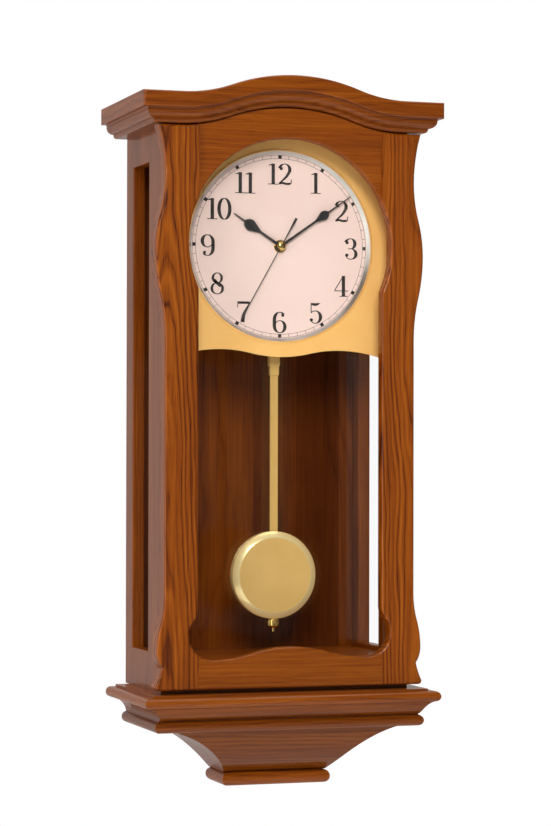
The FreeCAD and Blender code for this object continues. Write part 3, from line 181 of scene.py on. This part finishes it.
class Surface:
    """A Principled material, with short names for the nodes that feed it."""

    def __init__(self, name, roughness=0.5, metallic=0.0, specular=0.5, coat=0.0, coat_roughness=0.1):
        self.material = bpy.data.materials.new(name)
        self.material.use_nodes = True
        self.tree = self.material.node_tree
        self.shader = self.tree.nodes["Principled BSDF"]
        sockets = self.shader.inputs
        sockets["Roughness"].default_value = roughness
        sockets["Metallic"].default_value = metallic
        sockets["Specular IOR Level"].default_value = specular
        sockets["Coat Weight"].default_value = coat
        sockets["Coat Roughness"].default_value = coat_roughness

    def node(self, kind, inputs=(), **settings):
        """Adds a node. inputs are (socket name or number, value or output)."""
        made = self.tree.nodes.new("ShaderNode" + kind)
        for key, value in settings.items():
            setattr(made, key, value)
        for key, value in inputs:
            if isinstance(value, bpy.types.NodeSocket):
                self.tree.links.new(value, made.inputs[key])
            else:
                made.inputs[key].default_value = value
        return made

    def place(self):
        """Position on the piece, in metres, which moves with the piece."""
        return self.node("TexCoord").outputs["Object"]

    def maths(self, operation, a, b=0.0, c=0.0):
        """One sum: a, b and c may be numbers or outputs."""
        return self.node("Math", [(0, a), (1, b), (2, c)], operation=operation).outputs[0]

    def split(self, vector):
        """The three parts of a vector."""
        return self.node("SeparateXYZ", [(0, vector)]).outputs

    def join(self, x, y, z):
        """A vector from three parts."""
        return self.node("CombineXYZ", [(0, x), (1, y), (2, z)]).outputs[0]

    def stretch(self, vector, scale):
        """A vector with each part times its scale."""
        return self.node("Mapping", [("Vector", vector), ("Scale", scale)]).outputs[0]

    def noise(self, vector, scale=1.0, detail=2.0, rough=0.5):
        """Noise from 0 to 1."""
        values = [("Vector", vector), ("Scale", scale), ("Detail", detail), ("Roughness", rough)]
        return self.node("TexNoise", values).outputs["Fac"]

    def blend(self, share, a, b, kind="MIX"):
        """Colours a and b mixed by share."""
        values = [("Factor", share), (6, a), (7, b)]
        return self.node("Mix", values, data_type="RGBA", blend_type=kind).outputs[2]

    def mix(self, share, a, b):
        """Numbers a and b mixed by share."""
        return self.node("Mix", [("Factor", share), (2, a), (3, b)], data_type="FLOAT").outputs[0]

    def ramp(self, value, stops):
        """A colour ramp. stops are (position, sRGB colour)."""
        made = self.node("ValToRGB", [(0, value)])
        made.color_ramp.interpolation = "LINEAR"
        elements = made.color_ramp.elements
        while len(elements) < len(stops):
            elements.new(0.5)
        for element, (position, colour) in zip(elements, stops):
            element.position = position
            element.color = linear(*colour)
        return made.outputs["Color"]

    def curve(self, value, stops):
        """A grey ramp. stops are (position, level)."""
        made = self.node("ValToRGB", [(0, value)])
        made.color_ramp.interpolation = "EASE"
        elements = made.color_ramp.elements
        while len(elements) < len(stops):
            elements.new(0.5)
        for element, (position, level) in zip(elements, stops):
            element.position = position
            element.color = (level, level, level, 1)
        return made.outputs["Color"]

    def colour(self, output):
        """Feeds the base colour."""
        self.tree.links.new(output, self.shader.inputs["Base Color"])

    def roughness(self, output):
        """Feeds the roughness."""
        self.tree.links.new(output, self.shader.inputs["Roughness"])

    def bump(self, height, depth, strength=1.0):
        """Relief from a height of 0 to 1, depth in metres."""
        values = [("Height", height), ("Distance", depth), ("Strength", strength)]
        made = self.node("Bump", values)
        self.tree.links.new(made.outputs[0], self.shader.inputs["Normal"])


def dress(node, surface):
    """Gives a CAD node its material."""
    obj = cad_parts[node]
    obj.data.materials.clear()
    obj.data.materials.append(surface.material)


# ---------------------------------------------------------------- stained oak

OAK_RAMP = [
    (0.00, (30, 8, 1)),
    (0.30, (78, 30, 2)),
    (0.60, (126, 60, 5)),
    (1.00, (164, 90, 16)),
]

# Share of each pattern in the place on OAK_RAMP, and what is taken off their sum.
BAND_SHARE = 0.52
FIBRE_SHARE = 0.62
BROAD_SHARE = 0.5
PORE_SHARE = 0.24
LEVEL_DROP = 0.30

OAK_ROUGHNESS = (0.55, 0.42)
OAK_RELIEF = 0.08 * MM


def grain_frame(surface, axis, seed, mitre=None):
    """(along, across, deep) for a board with its grain along one axis.

    With mitre=(half width, front) the board's two returns turn the grain along Y at 45 degree mitres.
    """
    x, y, z = surface.split(surface.place())
    shift = 0.37 * seed
    if axis == "X":
        along, across, deep = x, z, y
    elif axis == "Y":
        along, across, deep = y, z, x
    else:
        along, across, deep = z, x, y
    if mitre:
        half, front = mitre
        from_side = surface.maths("SUBTRACT", half, surface.maths("ABSOLUTE", x))
        from_front = surface.maths("SUBTRACT", y, front)
        on_return = surface.maths("LESS_THAN", from_side, from_front)
        along = surface.mix(on_return, x, y)
        deep = surface.mix(on_return, y, x)
    return surface.maths("ADD", along, shift), across, deep


def oak(name, axis, seed, pith, slope, ring, contrast, tone=1.0, mitre=None):
    """Stained and lacquered oak.

    Growth rings are cut by a board whose heart lies at pith (across, deep) from the board's own
    origin and runs slope out of line with it, which draws the pointed arches of a flat-sawn face.
    """
    surface = Surface(name, roughness=0.5, specular=0.05, coat=0.45, coat_roughness=0.12)
    along, across, deep = grain_frame(surface, axis, seed, mitre)
    body = surface.join(across, deep, along)

    waver = surface.noise(surface.stretch(body, (22, 22, 5)), 1, 3, 0.55)
    sway = surface.noise(surface.stretch(body, (9, 9, 2.2)), 1, 2, 0.5)
    u = surface.maths("SUBTRACT", across, pith[0])
    v = surface.maths("SUBTRACT", deep, pith[1])
    radius = surface.maths("SQRT", surface.maths("ADD", surface.maths("MULTIPLY", u, u),
                                                 surface.maths("MULTIPLY", v, v)))
    reach = surface.maths("MULTIPLY_ADD", along, slope, radius)
    reach = surface.maths("MULTIPLY_ADD", waver, 0.016, reach)
    reach = surface.maths("MULTIPLY_ADD", sway, 0.03, reach)
    count = surface.maths("DIVIDE", reach, ring)
    year = surface.maths("FLOOR", count)
    phase = surface.maths("FRACT", count)
    band = surface.curve(phase, [(0.0, 0.45), (0.09, 0.0), (0.24, 0.55), (0.65, 0.95), (1.0, 0.45)])
    vigour = surface.node("TexWhiteNoise", [("W", year)], noise_dimensions="1D").outputs["Value"]
    vigour = surface.maths("MULTIPLY_ADD", vigour, 0.8, 0.2)
    band = surface.mix(surface.maths("MULTIPLY", vigour, contrast), 0.72, band)

    fibre = surface.noise(surface.stretch(body, (650, 650, 12)), 1, 4, 0.65)
    broad = surface.noise(surface.stretch(body, (30, 30, 2.5)), 1, 3, 0.6)
    pore = surface.noise(surface.stretch(body, (1300, 1300, 38)), 1, 2, 0.5)
    pore = surface.curve(pore, [(0.56, 0.0), (0.68, 1.0)])
    pore = surface.maths("MULTIPLY", pore, surface.mix(band, 0.9, 0.25))

    level = surface.maths("MULTIPLY", band, BAND_SHARE)
    level = surface.maths("MULTIPLY_ADD", fibre, FIBRE_SHARE, level)
    level = surface.maths("MULTIPLY_ADD", broad, BROAD_SHARE, level)
    level = surface.maths("SUBTRACT", level, surface.maths("MULTIPLY", pore, PORE_SHARE))
    level = surface.maths("SUBTRACT", level, LEVEL_DROP)
    wood = surface.ramp(level, [(p, tuple(c * tone for c in rgb)) for p, rgb in OAK_RAMP])
    surface.colour(wood)
    surface.roughness(surface.mix(level, *OAK_ROUGHNESS))
    relief = surface.maths("SUBTRACT", surface.maths("MULTIPLY", band, 0.3), pore)
    surface.bump(surface.maths("MULTIPLY_ADD", fibre, 0.5, relief), OAK_RELIEF, 0.6)
    return surface


# How far behind a stile's face the heart of its log lies.
PITH_DEPTH = 16 * MM


def dress_woodwork():
    """Every oak board, each with its own run of grain."""
    left, right = middle("stile_left"), middle("stile_right")
    face = low("stile_left").y
    heart_left = (left.x - 0.010, face + PITH_DEPTH)
    heart_right = (right.x + 0.014, face + PITH_DEPTH)
    dress("stile_left", oak("oak_stile_left", "Z", 1, heart_left, 0.030, 0.0036, 1.15))
    dress("stile_right", oak("oak_stile_right", "Z", 5, heart_right, -0.026, 0.0038, 1.1, 1.03))
    dress("door_header", oak("oak_header", "X", 2, (0.12, -0.05), 0.01, 0.0028, 0.22))
    dress("door_rail", oak("oak_rail", "X", 3, (-0.53, -0.10), 0.02, 0.0034, 0.35, 0.95))
    dress("glass_beads", oak("oak_beads", "Z", 4, (0.1, 0.0), 0.01, 0.004, 0.5))
    dress("back_panel", staves())
    dress("side_panel_left", oak("oak_side_left", "Z", 6, (-0.30, -0.02), 0.01, 0.0032, 0.35, 0.92))
    dress("side_panel_right", oak("oak_side_right", "Z", 7, (0.30, -0.02), 0.01, 0.0032, 0.35, 0.95))
    dress("top_board", oak("oak_top", "X", 8, (0.2, 0.0), 0.01, 0.004, 0.5))
    dress("floor_board", oak("oak_floor", "X", 9, (-0.3, 0.0), 0.01, 0.004, 0.6))
    dress("crown_rail", oak("oak_crown", "X", 10, (0.2, 0.0), 0.01, 0.004, 0.5, 0.9))
    slab = (high("cornice_slab").x, low("cornice_slab").y)
    dress("cornice_slab", oak("oak_slab", "X", 11, (0.10, -0.10), 0.008, 0.0040, 0.45, 0.97, slab))
    dress("cornice_moulding_front", oak("oak_cornice_front", "X", 12, (0.2, -0.1), 0.01, 0.003, 0.4, 0.93))
    dress("cornice_returns", oak("oak_cornice_returns", "Y", 13, (0.2, 0.1), 0.01, 0.003, 0.4, 0.93))
    board = (high("plinth_board").x, low("plinth_board").y)
    dress("plinth_board", oak("oak_plinth_board", "X", 14, (-0.4, -0.1), 0.01, 0.004, 0.5, 0.98, board))
    dress("plinth_moulding", oak("oak_plinth_moulding", "X", 15, (-0.4, -0.1), 0.01, 0.004, 0.5, 0.88, board))
    console = (high("console").x, low("console").y)
    dress("console", oak("oak_console", "X", 16, (-0.62, -0.06), 0.01, 0.005, 0.6, 0.84, console))
    dress("foot_board", oak("oak_foot", "X", 17, (-0.5, -0.1), 0.01, 0.004, 0.6, 0.97))


# Width of one stave of the back panel.
STAVE = 46 * MM


def staves():
    """The back panel: upright staves, each darker or lighter than its neighbour."""
    surface = oak("oak_back", "Z", 18, (0.02, 0.30), 0.02, 0.0050, 0.5, 0.86)
    x, _, _ = surface.split(surface.place())
    number = surface.maths("FLOOR", surface.maths("DIVIDE", surface.maths("ADD", x, 0.5), STAVE))
    pick = surface.node("TexWhiteNoise", [("W", number)], noise_dimensions="1D").outputs["Value"]
    shade = surface.ramp(pick, [(0.0, (176, 160, 150)), (1.0, (255, 250, 240))])
    wood = surface.shader.inputs["Base Color"].links[0].from_socket
    surface.colour(surface.blend(1.0, wood, shade, "MULTIPLY"))
    return surface


def plain_wood(name, axis):
    """Unstained softwood for the blocks inside."""
    surface = Surface(name, roughness=0.6, specular=0.3)
    along, across, deep = grain_frame(surface, axis, 3)
    body = surface.join(across, deep, along)
    fibre = surface.noise(surface.stretch(body, (300, 300, 8)), 1, 4, 0.6)
    surface.colour(surface.ramp(fibre, [(0.3, (150, 105, 62)), (0.7, (206, 166, 116))]))
    surface.bump(fibre, 0.00006, 0.6)
    return surface


# ---------------------------------------------------------------- metal, plastic, paper and glass

def metal(name, dark, light, roughness, scale=(900, 900, 900), depth=0.000012, metallic=1.0, spread=0.08):
    """Metal with a fine finish: scale sets which way it is brushed."""
    surface = Surface(name, roughness=roughness, metallic=metallic)
    place = surface.place()
    fine = surface.noise(surface.stretch(place, scale), 1, 3, 0.6)
    cloud = surface.noise(place, 28, 3, 0.55)
    surface.colour(surface.ramp(surface.mix(0.35, cloud, fine), [(0.35, dark), (0.65, light)]))
    surface.roughness(surface.mix(cloud, roughness - spread / 2, roughness + spread / 2))
    surface.bump(fine, depth, 0.5)
    return surface


# Where the bob's bevel starts and is full, as a share of the bob's radius.
BEVEL_START = 0.84
BEVEL_FULL = 0.88


def bob_brass():
    """The bob: satin face inside a polished bevel, whose lighter colour is a painted highlight."""
    surface = metal("bob_brass", (226, 184, 106), (234, 194, 118), 0.32, metallic=0.35)
    centre = middle("bob_shell")
    x, _, z = surface.split(surface.place())
    u = surface.maths("SUBTRACT", x, centre.x)
    v = surface.maths("SUBTRACT", z, centre.z)
    radius = surface.maths("SQRT", surface.maths("ADD", surface.maths("MULTIPLY", u, u),
                                                 surface.maths("MULTIPLY", v, v)))
    rim = high("bob_shell").x - centre.x
    share = surface.maths("DIVIDE", radius, rim)
    bevel = surface.curve(share, [(BEVEL_START, 0.0), (BEVEL_FULL, 1.0)])
    satin = surface.shader.inputs["Base Color"].links[0].from_socket
    # The bevel's lighter colour is a painted highlight; its lower roughness is real polish.
    painted_rim_highlight = surface.ramp(share, [(0.86, (255, 236, 176)), (1.0, (248, 216, 146))])
    surface.colour(surface.blend(bevel, satin, painted_rim_highlight))
    surface.roughness(surface.mix(bevel, 0.34, 0.2))
    return surface


def plastic(name, dark, light, roughness=0.5, grain=1400, depth=0.00003):
    """Moulded plastic with a fine spark texture."""
    surface = Surface(name, roughness=roughness, specular=0.45)
    place = surface.place()
    fine = surface.noise(place, grain, 2, 0.6)
    cloud = surface.noise(place, 40, 3, 0.5)
    surface.colour(surface.ramp(cloud, [(0.3, dark), (0.7, light)]))
    surface.roughness(surface.mix(fine, roughness - 0.06, roughness + 0.06))
    surface.bump(fine, depth, 0.5)
    return surface


def clear_glass():
    """Thin clear sheet glass, with a trace of ripple."""
    surface = Surface("sheet_glass", roughness=0.0, specular=0.3)
    place = surface.place()
    ripple = surface.noise(place, 9, 2, 0.4)
    surface.colour(surface.ramp(ripple, [(0.3, (226, 238, 234)), (0.7, (234, 242, 240))]))
    surface.shader.inputs["Transmission Weight"].default_value = 1.0
    surface.shader.inputs["Alpha"].default_value = 0.025
    surface.bump(ripple, 0.0001, 0.02)
    return surface


def dial_paper():
    """The dial: matt printed card in a warm blush."""
    surface = Surface("dial_card", roughness=0.55, specular=0.25)
    place = surface.place()
    tooth = surface.noise(place, 900, 3, 0.6)
    cloud = surface.noise(place, 18, 3, 0.5)
    surface.colour(surface.ramp(cloud, [(0.3, (234, 208, 198)), (0.7, (238, 213, 203))]))
    surface.bump(tooth, 0.00002, 0.4)
    return surface


def ink():
    """Black print."""
    surface = Surface("dial_ink", roughness=0.6, specular=0.1)
    cloud = surface.noise(surface.place(), 300, 3, 0.6)
    surface.colour(surface.ramp(cloud, [(0.3, (18, 18, 18)), (0.7, (30, 30, 30))]))
    surface.bump(cloud, 0.00001, 0.4)
    return surface


def dress_works():
    """Dial, hands, pendulum, movement and fittings."""
    gold = metal("gold_plate", (246, 190, 108), (250, 198, 118), 0.36, (40, 1500, 1500), metallic=0.12)
    brass = metal("pendulum_brass", (230, 188, 108), (236, 196, 118), 0.32, metallic=0.35)
    turned = metal("turned_brass", (214, 178, 100), (232, 198, 122), 0.22)
    steel = metal("steel", (150, 150, 150), (184, 184, 184), 0.34, (60, 1200, 1200))
    hinge = metal("hinge_brass", (176, 138, 70), (206, 168, 96), 0.34, (60, 1200, 1200))
    silver = metal("silver_ring", (196, 196, 192), (222, 222, 218), 0.3)
    enamel = metal("hand_black", (12, 12, 12), (20, 20, 20), 0.55, metallic=0.0)
    copper = metal("copper_wire", (150, 78, 40), (190, 104, 58), 0.4, (300, 300, 9000))
    black = plastic("black_plastic", (20, 20, 21), (30, 30, 31), 0.5)
    white = plastic("white_plastic", (214, 212, 204), (226, 224, 216), 0.4)
    brown = plastic("brown_plastic", (64, 38, 26), (78, 48, 34), 0.5)
    board = plastic("circuit_green", (18, 74, 40), (26, 92, 50), 0.3)
    can = plastic("battery_can", (34, 36, 42), (44, 46, 54), 0.35)
    uses = {
        gold: ["dial_plate"],
        silver: ["dial_ring"],
        brass: ["pendulum_hanger", "pendulum_rod", "bob_back"],
        bob_brass(): ["bob_shell"],
        turned: ["hand_cap", "movement_bush", "movement_nut", "minute_cannon", "rating_screw", "rating_nut"],
        steel: ["hanger_plate", "hanger_screws", "hinge_pins", "strike_plate", "dial_screws",
                "battery_contacts", "pivot_pin", "drive_magnet"],
        hinge: ["hinge_leaves_case", "hinge_leaves_door"],
        enamel: ["hour_hand", "minute_hand", "second_hand"],
        copper: ["motor_coils", "drive_coil"],
        black: ["movement_front", "movement_rear", "drive_box"],
        white: ["hour_wheel", "motion_wheel", "seconds_wheel", "set_button", "reset_button"],
        brown: ["magnet_catch"],
        board: ["circuit_board"],
        can: ["battery"],
        plain_wood("softwood_block", "X"): ["hanger_block"],
        plain_wood("softwood_batten", "Z"): ["dial_battens"],
        clear_glass(): ["door_glass"],
        dial_paper(): ["dial_disc"],
    }
    for surface, nodes in uses.items():
        for node in nodes:
            dress(node, surface)


# ---------------------------------------------------------------- printing on the dial

PRINT_THICKNESS = 0.06 * MM
FIGURE_HEIGHT = 20.6 * MM
FIGURE_WIDEN = 1.08
FIGURE_RADIUS = 73.2 * MM
PAIR_INSET = 2.2 * MM
FIGURE_DROP = 0.7 * MM
TRACK_INNER = 85.3 * MM
TRACK_OUTER = 88.6 * MM
SQUARE_WIDTH = 3.4 * MM
SQUARE_OVERRUN = 0.1 * MM
CIRCLE_WIDTH = 0.32 * MM
TICK_WIDTH = 0.34 * MM

# Thin and thick strokes, and the gap between two figures, as shares of the figure's height.
HAIR = 0.040
STEM = 0.155
FIGURE_GAP = 0.02


def smooth_path(points, steps=14):
    """Points along a smooth curve through the given points."""
    if len(points) < 3:
        return [Vector(p) for p in points]
    ends = [2 * Vector(points[0]) - Vector(points[1])]
    ends += [Vector(p) for p in points]
    ends.append(2 * Vector(points[-1]) - Vector(points[-2]))
    path = []
    for a, b, c, d in zip(ends, ends[1:], ends[2:], ends[3:]):
        for step in range(steps):
            t = step / steps
            path.append(0.5 * (2 * b + (c - a) * t + (2 * a - 5 * b + 4 * c - d) * t ** 2
                               + (3 * b - a - 3 * c + d) * t ** 3))
    path.append(ends[-2])
    return path


def oval(centre, size, start, end, steps=40):
    """Points on an ellipse from start to end degrees, anticlockwise from the right."""
    turn = [math.radians(start + (end - start) * i / steps) for i in range(steps + 1)]
    return [Vector((centre[0] + size[0] * math.cos(t), centre[1] + size[1] * math.sin(t))) for t in turn]


def pen(path, width=None, thick=STEM):
    """The outline of a stroke. Without a width it is thick where it runs upright, like a broad nib."""
    left, right = [], []
    for i, point in enumerate(path):
        ahead = path[min(i + 1, len(path) - 1)] - path[max(i - 1, 0)]
        ahead = ahead.normalized()
        if width is None:
            size = HAIR + (thick - HAIR) * abs(ahead.y) ** 2.2
        elif callable(width):
            size = width(i / (len(path) - 1))
        else:
            size = width
        side = Vector((-ahead.y, ahead.x)) * size / 2
        left.append(point + side)
        right.append(point - side)
    return left, right


def strip(path, **how):
    """One stroke of a figure."""
    return ("strip", pen(path, **how))


def dot(centre, radius):
    """A round blob."""
    return ("dot", oval(centre, (radius, radius), 0, 360, 20)[:-1])


def line(a, b, width):
    """A straight stroke."""
    return strip([Vector(a), Vector(b)], width=width)


def taper(start, end):
    """A width that changes steadily along a stroke."""
    return lambda share: start + (end - start) * share


def figure_strokes():
    """The ten figures, drawn in a box one unit high. Each has its width and its strokes."""
    foot = 0.018
    nine_and_six = [
        dot((0.46, 0.835), 0.072),
        strip(oval((0.325, 0.62), (0.245, 0.362), 45, 90, 14)
              + oval((0.325, 0.62), (0.25, 0.362), 92, 180, 20)
              + oval((0.325, 0.36), (0.25, 0.345), 182, 268, 22)),
        strip(oval((0.325, 0.30), (0.235, 0.285), -92, 92, 34)),
        strip(oval((0.325, 0.30), (0.235, 0.285), 90, 150, 14), width=HAIR),
    ]

    def spin(points):
        return [Vector((0.64 - p.x, 1 - p.y)) for p in points]

    def half_turn(stroke):
        kind, shape = stroke
        return (kind, tuple(spin(part) for part in shape) if kind == "strip" else spin(shape))

    return {
        "0": (0.64, [strip(oval((0.32, 0.5), (0.245, 0.49), 0, 360, 64))]),
        "1": (0.44, [
            line((0.23, foot), (0.23, 0.98), STEM),
            line((0.0, foot), (0.46, foot), HAIR),
            strip([Vector((0.02, 0.90)), Vector((0.24, 0.955))], width=taper(0.035, 0.09)),
        ]),
        "2": (0.62, [
            dot((0.135, 0.765), 0.078),
            strip(oval((0.315, 0.735), (0.25, 0.25), 172, 90, 16)
                  + oval((0.305, 0.715), (0.225, 0.27), 88, -25, 26)),
            strip(smooth_path([(0.505, 0.60), (0.36, 0.37), (0.16, 0.17), (0.03, 0.05)]),
                  width=taper(0.14, 0.04)),
            strip(smooth_path([(0.03, 0.055), (0.2, 0.085), (0.38, 0.045), (0.56, 0.06)]), width=0.105),
            line((0.585, 0.04), (0.605, 0.27), HAIR),
        ]),
        "3": (0.60, [
            dot((0.125, 0.80), 0.078),
            strip(oval((0.30, 0.755), (0.245, 0.235), 165, 90, 14)
                  + oval((0.295, 0.75), (0.195, 0.24), 88, -88, 30)),
            line((0.18, 0.512), (0.31, 0.512), HAIR),
            strip(oval((0.295, 0.265), (0.245, 0.25), 90, -90, 34)),
            strip(oval((0.295, 0.265), (0.24, 0.25), -90, -160, 14), width=HAIR),
            dot((0.115, 0.205), 0.078),
        ]),
        "4": (0.66, [
            line((0.43, foot), (0.43, 0.99), STEM),
            line((0.42, 0.98), (0.015, 0.285), HAIR),
            line((0.0, 0.275), (0.65, 0.275), HAIR),
            line((0.25, foot), (0.61, foot), HAIR),
        ]),
        "5": (0.60, [
            strip(smooth_path([(0.10, 0.965), (0.22, 0.905), (0.38, 0.915), (0.51, 0.985)]),
                  width=lambda share: 0.03 + 0.10 * math.sin(math.pi * min(1, share * 1.05)) ** 0.8),
            line((0.105, 0.97), (0.105, 0.50), HAIR),
            strip(smooth_path([(0.105, 0.50), (0.18, 0.575), (0.295, 0.605)]), width=HAIR),
            strip(oval((0.29, 0.31), (0.25, 0.295), 90, -90, 34)),
            strip(oval((0.29, 0.31), (0.24, 0.295), -90, -150, 12), width=HAIR),
            dot((0.115, 0.175), 0.078),
        ]),
        "6": (0.64, nine_and_six),
        "7": (0.60, [
            line((0.03, 0.925), (0.57, 0.925), 0.115),
            line((0.035, 0.99), (0.02, 0.70), HAIR),
            strip(smooth_path([(0.565, 0.90), (0.44, 0.66), (0.30, 0.36), (0.245, 0.01)]),
                  width=taper(0.05, 0.19)),
        ]),
        "8": (0.62, [
            strip(oval((0.31, 0.755), (0.20, 0.235), 0, 360, 48), thick=0.115),
            strip(oval((0.31, 0.265), (0.245, 0.26), 0, 360, 48), thick=0.125),
            strip(smooth_path([(0.16, 0.68), (0.30, 0.52), (0.47, 0.36)]), width=0.13),
        ]),
        "9": (0.64, [half_turn(stroke) for stroke in nine_and_six]),
    }


def lay_strip(shape, edges, put):
    """A raised flat ribbon between two edges. put turns a flat point and a height into a place."""
    left, right = edges
    rows = []
    for a, b in zip(left, right):
        rows.append([shape.verts.new(put(p, h)) for p, h in ((a, 1), (b, 1), (b, 0), (a, 0))])
    for one, two in zip(rows, rows[1:]):
        for i in range(4):
            j = (i + 1) % 4
            shape.faces.new([one[i], one[j], two[j], two[i]])
    shape.faces.new(rows[0])
    shape.faces.new(list(reversed(rows[-1])))


def lay_dot(shape, outline, put):
    """A raised flat disc or block."""
    top = [shape.verts.new(put(p, 1)) for p in outline]
    bottom = [shape.verts.new(put(p, 0)) for p in outline]
    shape.faces.new(top)
    shape.faces.new(list(reversed(bottom)))
    for i in range(len(outline)):
        j = (i + 1) % len(outline)
        shape.faces.new([top[j], top[i], bottom[i], bottom[j]])


def finish_piece(name, shape, surface, body):
    """Turns mesh code into a piece that rides on a body."""
    bmesh.ops.recalc_face_normals(shape, faces=shape.faces)
    data = bpy.data.meshes.new(name)
    shape.to_mesh(data)
    shape.free()
    piece = bpy.data.objects.new(name, data)
    bpy.context.scene.collection.objects.link(piece)
    data.materials.append(surface.material)
    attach(piece, body)


def make_figures(surface):
    """Twelve upright numerals in a high-contrast book face."""
    centre = middle("dial_disc")
    front = low("dial_disc").y
    figures = figure_strokes()
    for hour in range(1, 13):
        turn = math.radians(30 * hour)
        digits = [figures[c] for c in str(hour)]
        radius = FIGURE_RADIUS - PAIR_INSET * (len(digits) - 1)
        at = Vector((math.sin(turn), math.cos(turn))) * radius - Vector((0, FIGURE_DROP))
        width = sum(w for w, _ in digits) + FIGURE_GAP * (len(digits) - 1)
        shape = bmesh.new()
        start = -width / 2
        wide = FIGURE_HEIGHT * FIGURE_WIDEN
        for w, strokes in digits:
            def put(p, h, start=start, at=at, wide=wide):
                x = (start + p.x) * wide + at.x
                z = (p.y - 0.5) * FIGURE_HEIGHT + at.y
                return Vector((centre.x + x, front - PRINT_THICKNESS * h, centre.z + z))
            for kind, outline in strokes:
                if kind == "strip":
                    lay_strip(shape, outline, put)
                else:
                    lay_dot(shape, outline, put)
            start += w + FIGURE_GAP
        finish_piece("numeral_%02d" % hour, shape, surface, "case")


def make_minute_track(surface):
    """Two fine circles, sixty ticks between them and a square at each hour."""
    centre = middle("dial_disc")
    front = low("dial_disc").y

    def put(p, h):
        return Vector((centre.x + p.x, front - PRINT_THICKNESS * h, centre.z + p.y))

    rings = bmesh.new()
    for radius in (TRACK_INNER, TRACK_OUTER):
        lay_strip(rings, pen(oval((0, 0), (radius, radius), 0, 360, 240), width=CIRCLE_WIDTH), put)
    finish_piece("minute_circles", rings, surface, "case")
    ticks = bmesh.new()
    squares = bmesh.new()
    for minute in range(60):
        turn = math.radians(6 * minute)
        out = Vector((math.sin(turn), math.cos(turn)))
        if minute % 5:
            lay_strip(ticks, pen([out * TRACK_INNER, out * TRACK_OUTER], width=TICK_WIDTH), put)
        else:
            ends = [out * (TRACK_INNER - SQUARE_OVERRUN), out * (TRACK_OUTER + SQUARE_OVERRUN)]
            lay_strip(squares, pen(ends, width=SQUARE_WIDTH), put)
    finish_piece("minute_ticks", ticks, surface, "case")
    finish_piece("hour_squares", squares, surface, "case")


# ---------------------------------------------------------------- putting it together

make_camera()
make_world()
make_lights()
make_floor()
dress_woodwork()
dress_works()
black_ink = ink()
make_figures(black_ink)
make_minute_track(black_ink)
